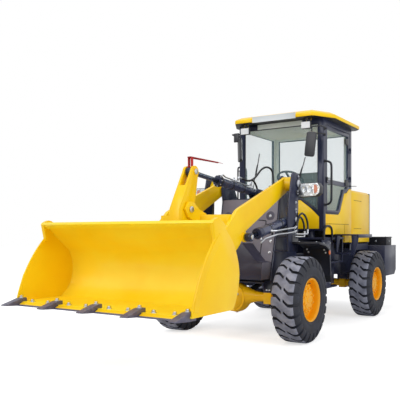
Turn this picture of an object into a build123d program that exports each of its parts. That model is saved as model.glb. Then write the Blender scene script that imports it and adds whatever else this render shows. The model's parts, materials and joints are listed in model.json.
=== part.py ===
# Compact articulated wheel loader, in millimetres.
# +Z is up, -Y is the bucket end, +X is the machine's left side.
# Sizes below are measured from the front axle (y = 0) and from the ground (z = 0).
# Every piece is moved back by mid_y as it is written, so the part's origin is on the
# ground, in the middle of the overall length and width.
from build123d import *
import os
from math import asin, atan2, cos, degrees, hypot

os.makedirs("parts", exist_ok=True)

# ---- overall ----
wheelbase = 2450
track_half = 828            # wheel centre plane to the machine's middle
tooth_tip_y = -2560
tail_y = 3880
mid_y = (tooth_tip_y + tail_y) / 2
running_gap = 0.4           # radial clearance of pins and rods
side_gap = 5                # between pieces that move past each other
plate = 20                  # heavy frame plate

# ---- wheels ----
tyre_radius = 485           # out to the lug tips, and the height of the axles
tyre_half_width = 162
lug_count = 24              # on each side of the tread
lug_half = 43               # half the width of a lug along the tread, at the shoulder
lug_height = 30
crown_half = 118            # half the width of the flat part of the tread
lug_inner_half = 27         # and at the tyre's middle
lug_foot = 375              # radius at which a lug runs out into the sidewall
edge_lug_out = 7            # a lug over the edge of two flats stands this much further out
wall_radius = 330           # where the sidewall bulges furthest
bead_radius = 228
bead_half_width = 135
rim_flange_radius = 245
rim_flange = 8
rim_wall = 10
disc_offset = 40            # inner face of the disc, outboard of the wheel centre plane
disc_thick = 12
hub_cap_radius = 140
hub_cap_out = 97
seat_gap = 0.3              # between the bead and the rim

# ---- axles and shafts ----
bowl_radius = 178
bowl_drop = 20              # the bowl's middle below the wheels' axis
pad_rise = 58               # top of the axle's pads above its middle
pad_span = (400, 500)
input_rise = 20
input_reach = 230
joint_radius = 42
shaft_pivot_z = 700

# ---- articulation and frames ----
pivot_y = 1190
ear_radius = 110
pivot_pin_radius = 35
upper_ear_z = 960           # underside of the front frame's upper ear
lower_ear_z = 470           # top of the front frame's lower ear
ear_plate = 25
rear_ear = 30               # the rear frame's ears, inside the front frame's
tower_inner_x = 395         # inner face of the inner tower plates
tower_outer_x = 596         # inner face of the outer tower plates
outer_plate = 18
tower_rear_y = 800
fender_outer_x = 965
rail_x = 380                # inner face of the rear frame's side plates
rail_thick = 25
rail_bottom_z = 620
rail_top_z = 1000
rail_front_y = 1420
step_outer_x = 640
step_front_y = 1130
deck_top_z = 1176

# ---- pivots of the loader linkage, (y, z) ----
boom_pivot = (400, 1830)
lift_base = (340, 1395)
lift_eye = (-658, 1187)
bucket_pivot = (-1610, 710)
crank_pivot = (-1090, 1476)
crank_top = (-970, 1880)
crank_foot = (-1200, 1000)
bucket_lug = (-1560, 1020)
tilt_base = (470, 1740)

# ---- boom ----
arm_x = 430                 # inner face of an arm
arm_thick = 40
boom_boss_radius = 85
boom_pin_radius = 32
nose_radius = 72
bucket_pin_radius = 28

# ---- bell crank and link ----
crank_half = 61
crank_slot_half = 36
foot_slot_half = 30
crank_pin_radius = 30
bracket_plate = 24
link_half = 25
link_eye_radius = 42
link_pin_radius = 22

# ---- cylinders ----
lift_x = 536
lift_barrel_radius = 54
gland_step = 6              # the gland ring stands this far out of a barrel
lift_rod_radius = 25
lift_barrel_length = 845    # base pin to gland
lift_rod_inside = 600       # rod hidden in the barrel at rest
lift_pin_radius = 22
tilt_barrel_radius = 50
tilt_rod_radius = 27
tilt_barrel_length = 915
tilt_rod_inside = 560
tilt_pin_radius = 25
tilt_eye_width = 100
tilt_eye_radius = 50
steer_barrel_radius = 32
steer_rod_radius = 16
steer_barrel_length = 520
steer_rod_inside = 262
steer_pin_radius = 15
steer_z = 770
steer_front = (290, 760)    # rod eye, (x, y)
steer_rear = (245, 1660)    # base pin, (x, y)
eye_width = 60

# ---- bucket ----
bucket_half = 1010
bucket_side = 16
bucket_shell = 14
bucket_floor_z = 593
gusset_thick = 34
tooth_count = 5
tooth_pitch = 477
tooth_width = 76
edge_thick = 20

# ---- cab, hood and tail ----
cab_half = 640
cab_wall = 40
cab_front_y = 1160
cab_rear_y = 2260
cab_floor_z = 1270
cab_top_z = 2755
roof_thick = 95
visor_half = 330            # half the recess in the roof's front edge
door_gap = 8
door_front_y = 1240
door_rear_y = 2170
door_top_z = cab_top_z - 65
sill_rear_z = 1879          # the door's lowest point at its rear edge
door_frame = 48
rear_window_z = 1960
door_rail_z = 1900          # underside of the door's middle rail
door_rail = 60
glass = 6
hinge_x = cab_half + 14
hinge_y = door_rear_y + 8
hinge_heights = (sill_rear_z + 141, door_top_z - 250)
hood_half = 620
hood_wall = 14
hood_top_z = 1885
hood_bottom_z = 1095
hood_rear_y = 3170
engine_half = 270
engine_span = (2360, 3070)
engine_mounts_y = (2450, 2960)
grille_depth = 60
weight_half = 860
weight_front_y = 3220
weight_top_z = 1035
weight_bottom_z = 545
tow_pin_radius = 21


# ---- small helpers ----
def block(x, y, z):
    """A box from three (low, high) pairs."""
    size = (x[1] - x[0], y[1] - y[0], z[1] - z[0])
    middle = ((x[0] + x[1]) / 2, (y[0] + y[1]) / 2, (z[0] + z[1]) / 2)
    return Pos(*middle) * Box(*size)


def side_plate(outline, x):
    """A plate seen from the side: (y, z) corners, from x[0] to x[1]."""
    face = make_face(Plane.YZ * Polyline(*outline, close=True))
    return Pos(x[0], 0, 0) * extrude(face, amount=x[1] - x[0], dir=(1, 0, 0))


def flat_plate(outline, z):
    """A plate seen from above: (x, y) corners, from z[0] to z[1]."""
    face = make_face(Polyline(*outline, close=True))
    return Pos(0, 0, z[0]) * extrude(face, amount=z[1] - z[0])


def cross_pin(centre, radius, x):
    """A round along X at (y, z), from x[0] to x[1]."""
    turned = Rot(0, 90, 0) * Cylinder(radius, x[1] - x[0])
    return Pos((x[0] + x[1]) / 2, centre[0], centre[1]) * turned


def upright_pin(x, y, radius, z):
    return Pos(x, y, (z[0] + z[1]) / 2) * Cylinder(radius, z[1] - z[0])


def round_bar(start, end, radius):
    """A round bar from one point to another."""
    run = Vector(*end) - Vector(*start)
    bottom = (Align.CENTER, Align.CENTER, Align.MIN)
    return Plane(origin=start, z_dir=run) * Cylinder(radius, run.length, align=bottom)


def tube_path(points, bend, radius):
    """A bent tube: straight runs with rounded corners."""
    line = FilletPolyline(*points, radius=bend)
    section = Plane(origin=line @ 0, z_dir=line % 0) * Circle(radius)
    return sweep(section, path=line)


def mirrored(shape):
    return mirror(shape, about=Plane.YZ)


def pair(shape):
    return shape, mirrored(shape)


def along(start, end, distance):
    """The point at a distance from start towards end, in (y, z)."""
    length = hypot(end[0] - start[0], end[1] - start[1])
    share = distance / length
    return (start[0] + share * (end[0] - start[0]), start[1] + share * (end[1] - start[1]))


def save(name, *shapes):
    placed = [Pos(0, -mid_y, 0) * shape for shape in shapes]
    whole = placed[0] if len(placed) == 1 else Compound(children=placed)
    export_step(whole, "parts/" + name + ".step")


# ---- wheels ----
def lug(foot_out, top):
    """One lug of the left half, with its foot standing foot_out from the sidewall."""
    carcass = tyre_radius - lug_height
    spread = (lug_foot - wall_radius) / (carcass - wall_radius)
    foot = tyre_half_width + (crown_half - tyre_half_width) * spread + foot_out
    side = [(0, carcass - 25), (0, top), (crown_half, top), (foot, lug_foot),
            (crown_half - 10, lug_foot)]
    wide = 2 * lug_half - lug_inner_half
    plan = [(0, -lug_inner_half), (0, lug_inner_half), (2 * crown_half, wide),
            (2 * crown_half, -wide)]
    body = extrude(make_face(Plane.XZ * Polyline(*side, close=True)), amount=wide, both=True)
    return body & flat_plate(plan, (0, 2 * tyre_radius))


def tyre():
    """One tyre about the X axis, with its middle at the origin."""
    carcass = tyre_radius - lug_height
    half = [
        # distance from the middle, radius
        (bead_half_width, bead_radius - 20), (bead_half_width, rim_flange_radius + 4),
        (tyre_half_width, wall_radius), (crown_half, carcass),
    ]
    outline = half + [(-x, r) for x, r in half[::-1]]
    # flat-sided rings, one flat to a lug
    turn = 360 / lug_count
    sector = extrude(make_face(Plane.XZ * Polyline(*outline, close=True)), amount=tyre_radius,
                     both=True)
    for side in (-1, 1):
        cutter = Pos(0, 0, tyre_radius) * Box(4 * tyre_radius, 2 * tyre_radius, 6 * tyre_radius)
        sector -= Rot(side * turn / 2, 0, 0) * Pos(0, -side * tyre_radius, 0) * cutter
    # the lugs' corners are the tyre's outermost points
    lug_corner = asin(lug_half / tyre_radius)
    top = tyre_radius * cos(lug_corner)
    left_lug = lug(0, top)
    right_lug = Rot(0, 0, 180) * lug(edge_lug_out, top)
    pieces = []
    for index in range(lug_count):
        pieces.append(Rot(index * turn, 0, 0) * (sector + left_lug))
        pieces.append(Rot((index + 0.5) * turn, 0, 0) * right_lug)
    bore = RegularPolygon(bead_radius + seat_gap, lug_count // 2, major_radius=False)
    whole = pieces[0].fuse(*pieces[1:])
    whole -= extrude(Plane.YZ * bore, amount=2 * tyre_half_width, both=True)
    return Rot(degrees(lug_corner) + 180, 0, 0) * whole.clean()


def rim(outboard):
    """One rim about the X axis; outboard is +1 on the left and -1 on the right."""
    half = bead_half_width + seat_gap
    inner = bead_radius - rim_wall
    ring = Cylinder(bead_radius, 2 * half) - Cylinder(inner, 2 * half)
    for end in (-1, 1):
        flange = Cylinder(rim_flange_radius, rim_flange) - Cylinder(inner, rim_flange)
        ring += Pos(0, 0, end * (half + rim_flange / 2)) * flange
    ring += Pos(0, 0, disc_offset + disc_thick / 2) * Cylinder(inner, disc_thick)
    cap_length = hub_cap_out - disc_offset
    cap = Pos(0, 0, disc_offset + cap_length / 2) * Cylinder(hub_cap_radius, cap_length)
    cap = chamfer(cap.edges().group_by(Axis.Z)[-1], 14)
    ring += cap
    return Rot(0, 90 * outboard, 0) * ring


def wheels():
    corners = [
        # name, side, y
        ("front_left", 1, 0),
        ("front_right", -1, 0),
        ("rear_left", 1, wheelbase),
        ("rear_right", -1, wheelbase),
    ]
    left_tyre = tyre()
    tyres = {1: left_tyre, -1: mirrored(left_tyre)}
    for name, side, y in corners:
        place = Pos(side * track_half, y, tyre_radius)
        save("tyre_" + name, place * tyres[side])
        save("rim_" + name, place * rim(side))


def axle(y, joint):
    """An axle housing; joint is -1 or +1 along Y for the side of its input."""
    hub_end = track_half + disc_offset - 0.5
    pad_low, pad_high = pad_span
    half = [
        # distance from the middle, radius
        (0, 120), (100, 118), (150, 108), (195, 84), (270, 62), (370, 52), (650, 52),
        (650, 128), (hub_end - 50, 128), (hub_end - 50, 100), (hub_end, 100), (hub_end, 0),
    ]
    outline = [(-x, r) for x, r in half[:0:-1]] + half
    body = revolve(make_face(Plane.XY * Polyline(*outline, close=True)), axis=Axis.X)
    body += Pos(0, 0, -bowl_drop) * Rot(0, 90, 0) * Sphere(bowl_radius)
    body += round_bar((0, 0, input_rise), (0, joint * input_reach, input_rise), 60)
    for side in (-1, 1):
        low, high = sorted((side * pad_low, side * pad_high))
        body += block((low, high), (-75, 75), (-pad_rise - 14, pad_rise))
    return Pos(0, y, tyre_radius) * body


def drive_shaft(y, joint, pivot_end):
    """A shaft from an axle's input to the articulation, with a round joint at each end."""
    start = (0, y + joint * (input_reach + joint_radius + 0.5), tyre_radius + input_rise)
    end = (0, pivot_end, shaft_pivot_z)
    return round_bar(start, end, 32) + Pos(*start) * Sphere(joint_radius) + Pos(*end) * Sphere(joint_radius)


# ---- front body ----
def front_frame():
    pad_top = tyre_radius + pad_rise
    inner_outline = [
        (-75, pad_top + 25), (-110, 640), (85, 660), (233, 1238), (290, 1404), (330, 1640),
        (300, 1800), (330, 1900), (390, 1935), (480, 1920), (620, 1800), (tower_rear_y, 1500),
        (tower_rear_y, lower_ear_z - ear_plate), (330, lower_ear_z - ear_plate),
        (230, pad_top + 25),
    ]
    outer_outline = [
        (135, 1010), (135, 1400), (175, 1640), (250, 1925), (280, 1955), (410, 1955),
        (455, 1925), (480, 1830), (425, 1700), (415, 1400), (415, 1010),
    ]
    wall = side_plate(inner_outline, (tower_inner_x, tower_inner_x + plate))
    wall += side_plate(outer_outline, (tower_outer_x, tower_outer_x + outer_plate))
    # the two pins between the plates, and the web that ties them together low down
    wall += cross_pin(boom_pivot, boom_pin_radius, (tower_inner_x, tower_outer_x + 24))
    wall += cross_pin(boom_pivot, 52, (tower_outer_x + outer_plate, tower_outer_x + 28))
    wall += cross_pin(lift_base, lift_pin_radius, (tower_inner_x, tower_outer_x + 24))
    wall += block((tower_inner_x, tower_outer_x + outer_plate), (240, 400), (1180, 1200))
    wall += block((tower_inner_x, tower_outer_x + outer_plate), (180, 400), (1010, 1030))
    # bracket of the steering rod, above and below its eye
    bracket = (steer_front[0] - 40, tower_inner_x + 1)
    for z in (steer_z - 15 - side_gap - 15, steer_z + 15 + side_gap):
        wall += block(bracket, (690, 800), (z, z + 15))
    # saddle on the axle's pad
    wall += block((tower_inner_x, pad_span[1]), (-75, 75), (pad_top, pad_top + 26))
    frame = wall + mirrored(wall)
    # cross members between the inner plates
    inside = (-tower_inner_x - 1, tower_inner_x + 1)
    frame += block(inside, (520, 610), (1560, 1680))
    frame += block(inside, (640, 800), (1180, 1200))
    frame += block(inside, (-60, 90), (pad_top + 100, pad_top + 120))
    frame += block(inside, (330, 350), (lower_ear_z - ear_plate, lower_ear_z + 5))
    # ears of the tilt cylinder
    ear = [(560, 1600), (600, 1675), (520, 1780), (440, 1785), (415, 1720), (440, 1680),
           (525, 1600)]
    near = tilt_eye_width / 2 + side_gap
    for low in (-near - plate, near):
        frame += side_plate(ear, (low, low + plate))
    frame += cross_pin(tilt_base, tilt_pin_radius, (-near - plate, near + plate))
    # ears of the articulation
    taper = [(-tower_inner_x - 5, 450), (tower_inner_x + 5, 450), (tower_inner_x + 5, 800),
             (ear_radius, pivot_y), (-ear_radius, pivot_y), (-tower_inner_x - 5, 800)]
    for low in (upper_ear_z, lower_ear_z - ear_plate):
        span = (low, low + ear_plate)
        frame += flat_plate(taper, span) + upright_pin(0, pivot_y, ear_radius, span)
    drop = side_gap + rear_ear + 5
    frame += upright_pin(0, pivot_y, pivot_pin_radius, (upper_ear_z - drop, upper_ear_z + 10))
    frame += upright_pin(0, pivot_y, pivot_pin_radius, (lower_ear_z - 10, lower_ear_z + drop))
    return frame


def nose_room(gap):
    """The guard's nose less a gap all round, open below."""
    half = tower_inner_x - seat_gap - gap
    low = 690 if gap == 0 else 600
    front = [(-half, low), (half, low), (half, 890 - gap), (310, 905 - gap),
             (110, 1110 - gap), (-110, 1110 - gap), (-310, 905 - gap), (-half, 890 - gap)]
    side = [(-130 + gap, low), (-65 + gap, 1120), (191, 1120), (95, 760), (76, low)]
    return front_face(front, (-300, 300)) & side_plate(side, (-half, half))


def front_guard():
    """Folded plate that closes the front of the tower, with a box-shaped nose low down."""
    thick = 8
    line = [(330, 1655), (282, 1404), (225, 1238), (95, 760), (75, 690)]
    back = [(y + thick, z) for y, z in line]
    half = tower_inner_x - seat_gap
    return side_plate(line + back[::-1], (-half, half)) + (nose_room(0) - nose_room(thick))


def front_fender():
    """Left front mudguard: a bent plate behind the wheel with a folded edge."""
    thick = 6
    fold = 26
    inner_x = tower_outer_x + outer_plate + seat_gap
    line = [(240, 1130), (430, 1104), (572, 1052), (607, 720)]
    back = [(y - 4, z - thick) for y, z in line]
    guard = side_plate(line + back[::-1], (inner_x, fender_outer_x))
    lip = line + [(607 - fold, 720), (572 - fold, 1052 - fold), (430, 1104 - fold),
                  (240, 1130 - fold)]
    guard += side_plate(lip, (fender_outer_x - thick, fender_outer_x))
    guard += block((inner_x, fender_outer_x), (240, 240 + thick), (1130 - fold, 1129))
    guard += side_plate([(240, 1110), (240, 1210), (405, 1210), (405, 1095)],
                        (inner_x, inner_x + thick))
    return guard


def headlight():
    """Left headlight: housing and the arm that carries it."""
    inner_x = tower_outer_x + outer_plate + seat_gap
    lens = [(635, 1690), (660, 1825), (690, 1834), (868, 1834), (900, 1790), (893, 1708),
            (845, 1676), (650, 1676)]
    lamp = front_face(lens, (400, 520))
    arm = block((inner_x, 670), (350, 425), (1690, 1750))
    return lamp + arm


# ---- boom and linkage ----
def boom():
    nose = bucket_pivot
    outline = [
        (boom_pivot[0], 1919), (-740, 1494), (-790, 1470), (-835, 1430), (-1000, 1285),
        (-1270, 1000), (-1570, 774), (-1600, 640), (-1150, 770), (-827, 1042),
        (-745, 1101), (-690, 1160), (-606, 1257), (boom_pivot[0], 1734),
    ]
    inside = arm_x + arm_thick
    left = side_plate(outline, (arm_x, inside))
    left += cross_pin(boom_pivot, boom_boss_radius,
                      (tower_inner_x + plate + side_gap, tower_outer_x - side_gap))
    left += cross_pin(nose, nose_radius, (arm_x, inside))
    left += cross_pin(lift_eye, 53, (inside - 1, inside + 20))
    left -= cross_pin(boom_pivot, boom_pin_radius + running_gap, (arm_x - 60, lift_x + 90))
    left -= cross_pin(nose, bucket_pin_radius + running_gap, (arm_x - 9, inside + 9))
    whole = left + mirrored(left)
    # box tube between the arms, with the two ears of the bell crank
    tube = block((-arm_x - 1, arm_x + 1), (-925, -785), (1300, 1425))
    whole += tube
    ear = [(-800, 1440), (-800, 1320), (-940, 1320), (-1130, 1395), (-1185, 1476),
           (-1130, 1556), (-1040, 1556), (-930, 1480)]
    low = crank_half + side_gap
    for start in (low, -low - bracket_plate):
        whole += side_plate(ear, (start, start + bracket_plate))
    span = (-low - bracket_plate - 6, low + bracket_plate + 6)
    whole += cross_pin(crank_pivot, crank_pin_radius, span)
    return whole


def bell_crank():
    top, mid, foot = crank_top, crank_pivot, crank_foot
    outline = [
        (top[0] - 62, top[1] + 10), (top[0] + 60, top[1] + 10), (mid[0] + 105, mid[1] + 20),
        (mid[0] + 80, mid[1] - 110), (foot[0] + 62, foot[1]), (foot[0] - 62, foot[1]),
        (mid[0] - 185, mid[1] - 130), (mid[0] - 165, mid[1] + 10),
    ]
    span = (-crank_half, crank_half)
    body = side_plate(outline, span)
    body += cross_pin(top, 62, span)
    body += cross_pin(foot, 62, span)
    slot_top = 150
    body -= block((-crank_slot_half, crank_slot_half), (mid[0] - 250, mid[0] + 350),
                  (top[1] - slot_top, top[1] + 90))
    body -= block((-foot_slot_half, foot_slot_half), (mid[0] - 300, mid[0] + 200),
                  (foot[1] - 90, foot[1] + 110))
    body -= cross_pin(mid, crank_pin_radius + running_gap, (-crank_half - 1, crank_half + 1))
    body += cross_pin(foot, link_pin_radius, (-crank_half - 6, crank_half + 6))
    for side in (-1, 1):
        low, high = sorted((side * (crank_half - 1), side * (crank_half + 8)))
        body += cross_pin(top, 36, (low, high))
    return body


def tilt_link():
    span = (-link_half, link_half)
    start, end = crank_foot, bucket_lug
    length = hypot(end[0] - start[0], end[1] - start[1])
    tilt = degrees(atan2(end[1] - start[1], end[0] - start[0]))
    bar = Rot(tilt, 0, 0) * Box(2 * link_half, length, 64)
    bar = Pos(0, (start[0] + end[0]) / 2, (start[1] + end[1]) / 2) * bar
    bar += cross_pin(start, link_eye_radius, span)
    bar += cross_pin(end, link_eye_radius, span)
    bar -= cross_pin(start, link_pin_radius + running_gap, (-link_half - 1, link_half + 1))
    return bar


# ---- bucket ----
def bucket():
    half = bucket_half
    lip = (-2384, bucket_floor_z)
    heel = (-1850, bucket_floor_z)
    crease = (-1753, 1067)
    top = (-2080, 1319)
    t = bucket_shell
    inner = Polyline(lip, heel) + ThreePointArc(heel, (-1690, 825), crease) + Polyline(crease, top)
    outer_heel = (heel[0], heel[1] - t)
    outer_crease = (crease[0] + t * 0.75, crease[1] + t * 0.85)
    outer_top = (top[0] + t * 0.6, top[1] + t * 0.8)
    outer = (
        Polyline((lip[0], lip[1] - t), outer_heel)
        + ThreePointArc(outer_heel, (-1690 + t, 825), outer_crease)
        + Polyline(outer_crease, outer_top)
    )
    ends = Polyline(lip, (lip[0], lip[1] - t)) + Polyline(top, outer_top)
    face = make_face(Plane.YZ * (inner + outer + ends))
    shell = Pos(-half, 0, 0) * extrude(face, amount=2 * half, dir=(1, 0, 0))
    # side plates
    side = (
        Polyline((-1778, bucket_floor_z - t), (-2379, bucket_floor_z - t), (-2379, 600))
        + ThreePointArc((-2379, 600), (-2212, 985), (-1925, 1292))
        + Polyline((-1925, 1292), (-1853, 1225))
        + ThreePointArc((-1853, 1225), (-1680, 910), (-1778, bucket_floor_z - t))
    )
    side_face = make_face(Plane.YZ * side)
    for start in (-half, half - bucket_side):
        shell += Pos(start, 0, 0) * extrude(side_face, amount=bucket_side, dir=(1, 0, 0))
    # thick gussets in the upper corners
    corner = [(-2088, 1312), (-2062, 1341), (-2020, 1356), (-1985, 1350), (-1880, 1290),
              (-1925, 1240), (-2050, 1150)]
    for start in (-half, half - gusset_thick):
        shell += side_plate(corner, (start, start + gusset_thick))
    # top rail
    shell += side_plate([(-2092, 1312), (-2075, 1335), (-2020, 1300), (-2040, 1270)],
                        (-half, half))
    # ears on the back: two round each arm, two round the link
    pivot_ear = [(-1776, 640), (-1700, 565), (-1590, 630), (-1535, 700), (-1560, 775),
                 (-1640, 860), (-1680, 870), (-1693, 780), (-1728, 700)]
    lug_ear = [(-1680, 850), (-1689, 950), (-1706, 1000), (-1738, 1058), (-1640, 1120),
               (-1520, 1062), (-1505, 1000), (-1560, 940), (-1640, 850)]
    inside = arm_x + arm_thick
    for side in (-1, 1):
        for near in (arm_x - side_gap - 24, inside + side_gap):
            low, high = sorted((side * near, side * (near + 24)))
            shell += side_plate(pivot_ear, (low, high))
        low, high = sorted((side * (arm_x - side_gap - 30), side * (inside + side_gap + 30)))
        shell += cross_pin(bucket_pivot, bucket_pin_radius, (low, high))
        low, high = sorted((side * (link_half + 8), side * (link_half + 30)))
        shell += side_plate(lug_ear, (low, high))
        low, high = sorted((side * (link_half + 29), side * (link_half + 38)))
        shell += cross_pin(bucket_lug, 34, (low, high))
    return shell


def bucket_edges():
    """Teeth and the bolted cutting edges between them."""
    top = bucket_floor_z - bucket_shell
    pieces = []
    for index in range(tooth_count):
        x = (index - (tooth_count - 1) / 2) * tooth_pitch
        outline = [(tooth_tip_y, 568), (tooth_tip_y + 4, 576), (-2390, 622), (-2330, 626),
                   (-2330, bucket_floor_z), (-2384, bucket_floor_z), (-2384, top),
                   (-2300, top), (-2300, 556), (-2400, 556)]
        pieces.append(side_plate(outline, (x - tooth_width / 2, x + tooth_width / 2)))
    gap = 8
    for index in range(tooth_count - 1):
        x = (index - (tooth_count - 2) / 2) * tooth_pitch
        half = (tooth_pitch - tooth_width) / 2 - gap
        outline = [(-2440, 560), (-2425, 572), (-2384.3, 590), (-2384.3, top), (-2300, top),
                   (-2300, top - edge_thick), (-2440, top - edge_thick)]
        pieces.append(side_plate(outline, (x - half, x + half)))
    return pieces


# ---- cylinders ----
def barrel(base, eye, length, radius, rod_radius, pin_radius, x, eye_radius, width):
    """A cylinder barrel lying in a side view, its base eye at base and aimed at eye."""
    start = along(base, eye, eye_radius - 8)
    gland = along(base, eye, length)
    bore_start = along(base, eye, eye_radius + 12)
    neck = along(base, eye, length - 60)
    body = round_bar((x, start[0], start[1]), (x, gland[0], gland[1]), radius)
    body += round_bar((x, neck[0], neck[1]), (x, gland[0], gland[1]), radius + gland_step)
    body += cross_pin(base, eye_radius, (x - width / 2, x + width / 2))
    body -= round_bar((x, bore_start[0], bore_start[1]), (x, gland[0], gland[1]),
                      rod_radius + running_gap)
    body -= cross_pin(base, pin_radius + running_gap, (x - width, x + width))
    return body


def rod(base, eye, length, inside, radius, x, eye_radius, width):
    """The rod that slides in that barrel, out to its eye."""
    start = along(base, eye, length - inside)
    body = round_bar((x, start[0], start[1]), (x, eye[0], eye[1]), radius)
    body += cross_pin(eye, eye_radius, (x - width / 2, x + width / 2))
    return body


def lift_cylinder(side):
    x = side * lift_x
    tube = barrel(lift_base, lift_eye, lift_barrel_length, lift_barrel_radius,
                  lift_rod_radius, lift_pin_radius, x, 46, eye_width)
    bar = rod(lift_base, lift_eye, lift_barrel_length, lift_rod_inside, lift_rod_radius,
              x, 46, eye_width)
    # the pin that stays in the rod's eye, with its head outside
    low, high = sorted((side * (arm_x + arm_thick + 22), side * (lift_x + eye_width / 2 + 8)))
    bar += cross_pin(lift_eye, lift_pin_radius, (low, high))
    return tube, bar


def tilt_cylinder():
    tube = barrel(tilt_base, crank_top, tilt_barrel_length, tilt_barrel_radius,
                  tilt_rod_radius, tilt_pin_radius, 0, 52, tilt_eye_width)
    bar = rod(tilt_base, crank_top, tilt_barrel_length, tilt_rod_inside, tilt_rod_radius,
              0, tilt_eye_radius, 2 * (crank_slot_half - side_gap))
    return tube, bar


def level_indicator():
    """Two thin posts on the rod's eye and the arm that reaches back over the barrel."""
    post_x = crank_slot_half - side_gap - 8
    height = 155
    posts = []
    for y in (crank_top[0] - 8, crank_top[0] + 8):
        seat = tilt_eye_radius + 0.1
        posts.append(round_bar((post_x - 10, y, crank_top[1] + seat),
                               (post_x - 10, y, crank_top[1] + height), 5))
    arm = block((post_x - 16, post_x - 4), (-996, -440),
                (crank_top[1] + height - 6, crank_top[1] + height + 6))
    arm += round_bar((post_x - 10, -441, crank_top[1] + height),
                     (post_x - 10, -341, crank_top[1] + height), 3)
    return arm + posts[0] + posts[1]


def steering_cylinder(side):
    """Barrel on the rear frame, rod eye on the front frame, lying flat at steer_z."""
    rear = Vector(side * steer_rear[0], steer_rear[1], steer_z)
    front = Vector(side * steer_front[0], steer_front[1], steer_z)
    way = (front - rear).normalized()
    gland = rear + way * steer_barrel_length
    tube = round_bar(tuple(rear + way * 46), tuple(gland), steer_barrel_radius)
    tube += round_bar(tuple(rear), tuple(rear + way * 50), 14)
    tube += Pos(*rear) * Cylinder(30, 30)
    tube -= round_bar(tuple(rear + way * 60), tuple(gland), steer_rod_radius + running_gap)
    tube -= Pos(*rear) * Cylinder(steer_pin_radius + running_gap, 80)
    bar = round_bar(tuple(gland - way * steer_rod_inside), tuple(front), steer_rod_radius)
    bar += Pos(*front) * Cylinder(28, 30)
    return tube, bar


# ---- rear body ----
def rear_frame():
    under_deck = deck_top_z - 26
    ear_low = lower_ear_z + side_gap
    rail = [
        (rail_front_y, ear_low), (rail_front_y, under_deck), (1930, under_deck),
        (2050, rail_top_z), (weight_front_y, rail_top_z), (weight_front_y, rail_bottom_z),
        (1620, rail_bottom_z), (1560, ear_low),
    ]
    left = side_plate(rail, (rail_x, rail_x + rail_thick))
    frame = left + mirrored(left)
    inside = (-rail_x - 1, rail_x + 1)
    frame += block(inside, (rail_front_y, rail_front_y + plate), (930, under_deck))
    frame += block(inside, (rail_front_y, rail_front_y + plate), (ear_low, ear_low + 70))
    frame += block(inside, (3160, weight_front_y), (rail_bottom_z, 820))
    frame += block(inside, (2020, 2060), (rail_bottom_z + 60, 800))
    # ears of the articulation, inside the front frame's ears
    taper = [(-rail_x, rail_front_y + plate), (rail_x, rail_front_y + plate),
             (rail_x, rail_front_y), (ear_radius, pivot_y), (-ear_radius, pivot_y),
             (-rail_x, rail_front_y)]
    for low in (upper_ear_z - side_gap - rear_ear, ear_low):
        span = (low, low + rear_ear)
        ear = flat_plate(taper, span) + upright_pin(0, pivot_y, ear_radius, span)
        frame += ear - upright_pin(0, pivot_y, pivot_pin_radius + running_gap, (400, 1200))
    # brackets and pins of the steering cylinders
    for side in (-1, 1):
        x = side * steer_rear[0]
        low, high = sorted((x - side * 36, side * (rail_x + 1)))
        for z in (steer_z - 15 - side_gap - 15, steer_z + 15 + side_gap):
            frame += block((low, high), (steer_rear[1] - 24, steer_rear[1] + 60), (z, z + 15))
        frame += upright_pin(x, steer_rear[1], steer_pin_radius, (steer_z - 40, steer_z + 40))
    # deck under the cab, with the cab's mounts
    frame += block((-step_outer_x, step_outer_x), (step_front_y, 1930), (under_deck, deck_top_z))
    for x in (-430, 430):
        for y in (1250, 1850):
            frame += upright_pin(x, y, 45, (deck_top_z, cab_floor_z))
    # engine mounts, and the two bars that the hood stands on
    for y in engine_mounts_y:
        for side in (-1, 1):
            low, high = sorted((side * (engine_half + seat_gap), side * (rail_x + 1)))
            frame += block((low, high), (y - 35, y + 35), (760, 860))
    for y in (cab_rear_y + 60, hood_rear_y - 60):
        frame += block((-hood_half, hood_half), (y - 25, y + 25),
                       (hood_bottom_z - 22, hood_bottom_z - seat_gap))
        for side in (-1, 1):
            low, high = sorted((side * rail_x, side * (rail_x + rail_thick)))
            frame += block((low, high), (y - 25, y + 25), (rail_top_z, hood_bottom_z - 20))
    # saddles on the rear axle's pads
    pad_top = tyre_radius + pad_rise
    for side in (-1, 1):
        low, high = sorted((side * rail_x, side * 540))
        frame += block((low, high), (wheelbase - 85, wheelbase + 85), (pad_top, rail_bottom_z + 1))
    return frame


def side_steps():
    """Left-hand steps and the post that carries them, hung from the deck."""
    outer = (step_outer_x - 20, step_outer_x)
    under_deck = deck_top_z - 26
    inner_x = rail_x + rail_thick
    post = side_plate([(step_front_y, 500), (1430, 500), (1430, under_deck),
                       (step_front_y, under_deck)], outer)
    post += block((inner_x, step_outer_x), (1400, 1430), (500, under_deck))
    post += block((inner_x + 80, step_outer_x), (step_front_y, 1670), (490, 512))
    post += block((inner_x + 80, step_outer_x), (1400, 1900), (820, 842))
    post += block((inner_x, inner_x + 100), (1430, 1900), (512, under_deck))
    post += side_plate([(1880, 820), (1900, 820), (1900, under_deck), (1880, under_deck)], outer)
    return post


def rear_fender():
    """Left rear mudguard plate with its slanted stay."""
    top = block((step_outer_x + 0.3, 985), (1560, 2150), (1200, 1219))
    top += block((965, 985), (1560, 2150), (1170, 1219))
    top += side_plate([(1620, 1200), (1760, 1200), (1640, 940), (1600, 940)],
                      (step_outer_x + 0.3, step_outer_x + 20))
    return top


# ---- cab ----
def panel_outline():
    """Yellow side panel below the door and up to the hood, (y, z)."""
    return [
        (door_front_y, 1215), (door_front_y, 1490), (1720, 1490), (1790, 1530), (1960, 1800),
        (2060, 1815), (2180, hood_top_z), (cab_rear_y, hood_top_z), (cab_rear_y, 1100),
        (1960, 1100), (1960, 1215),
    ]


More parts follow.
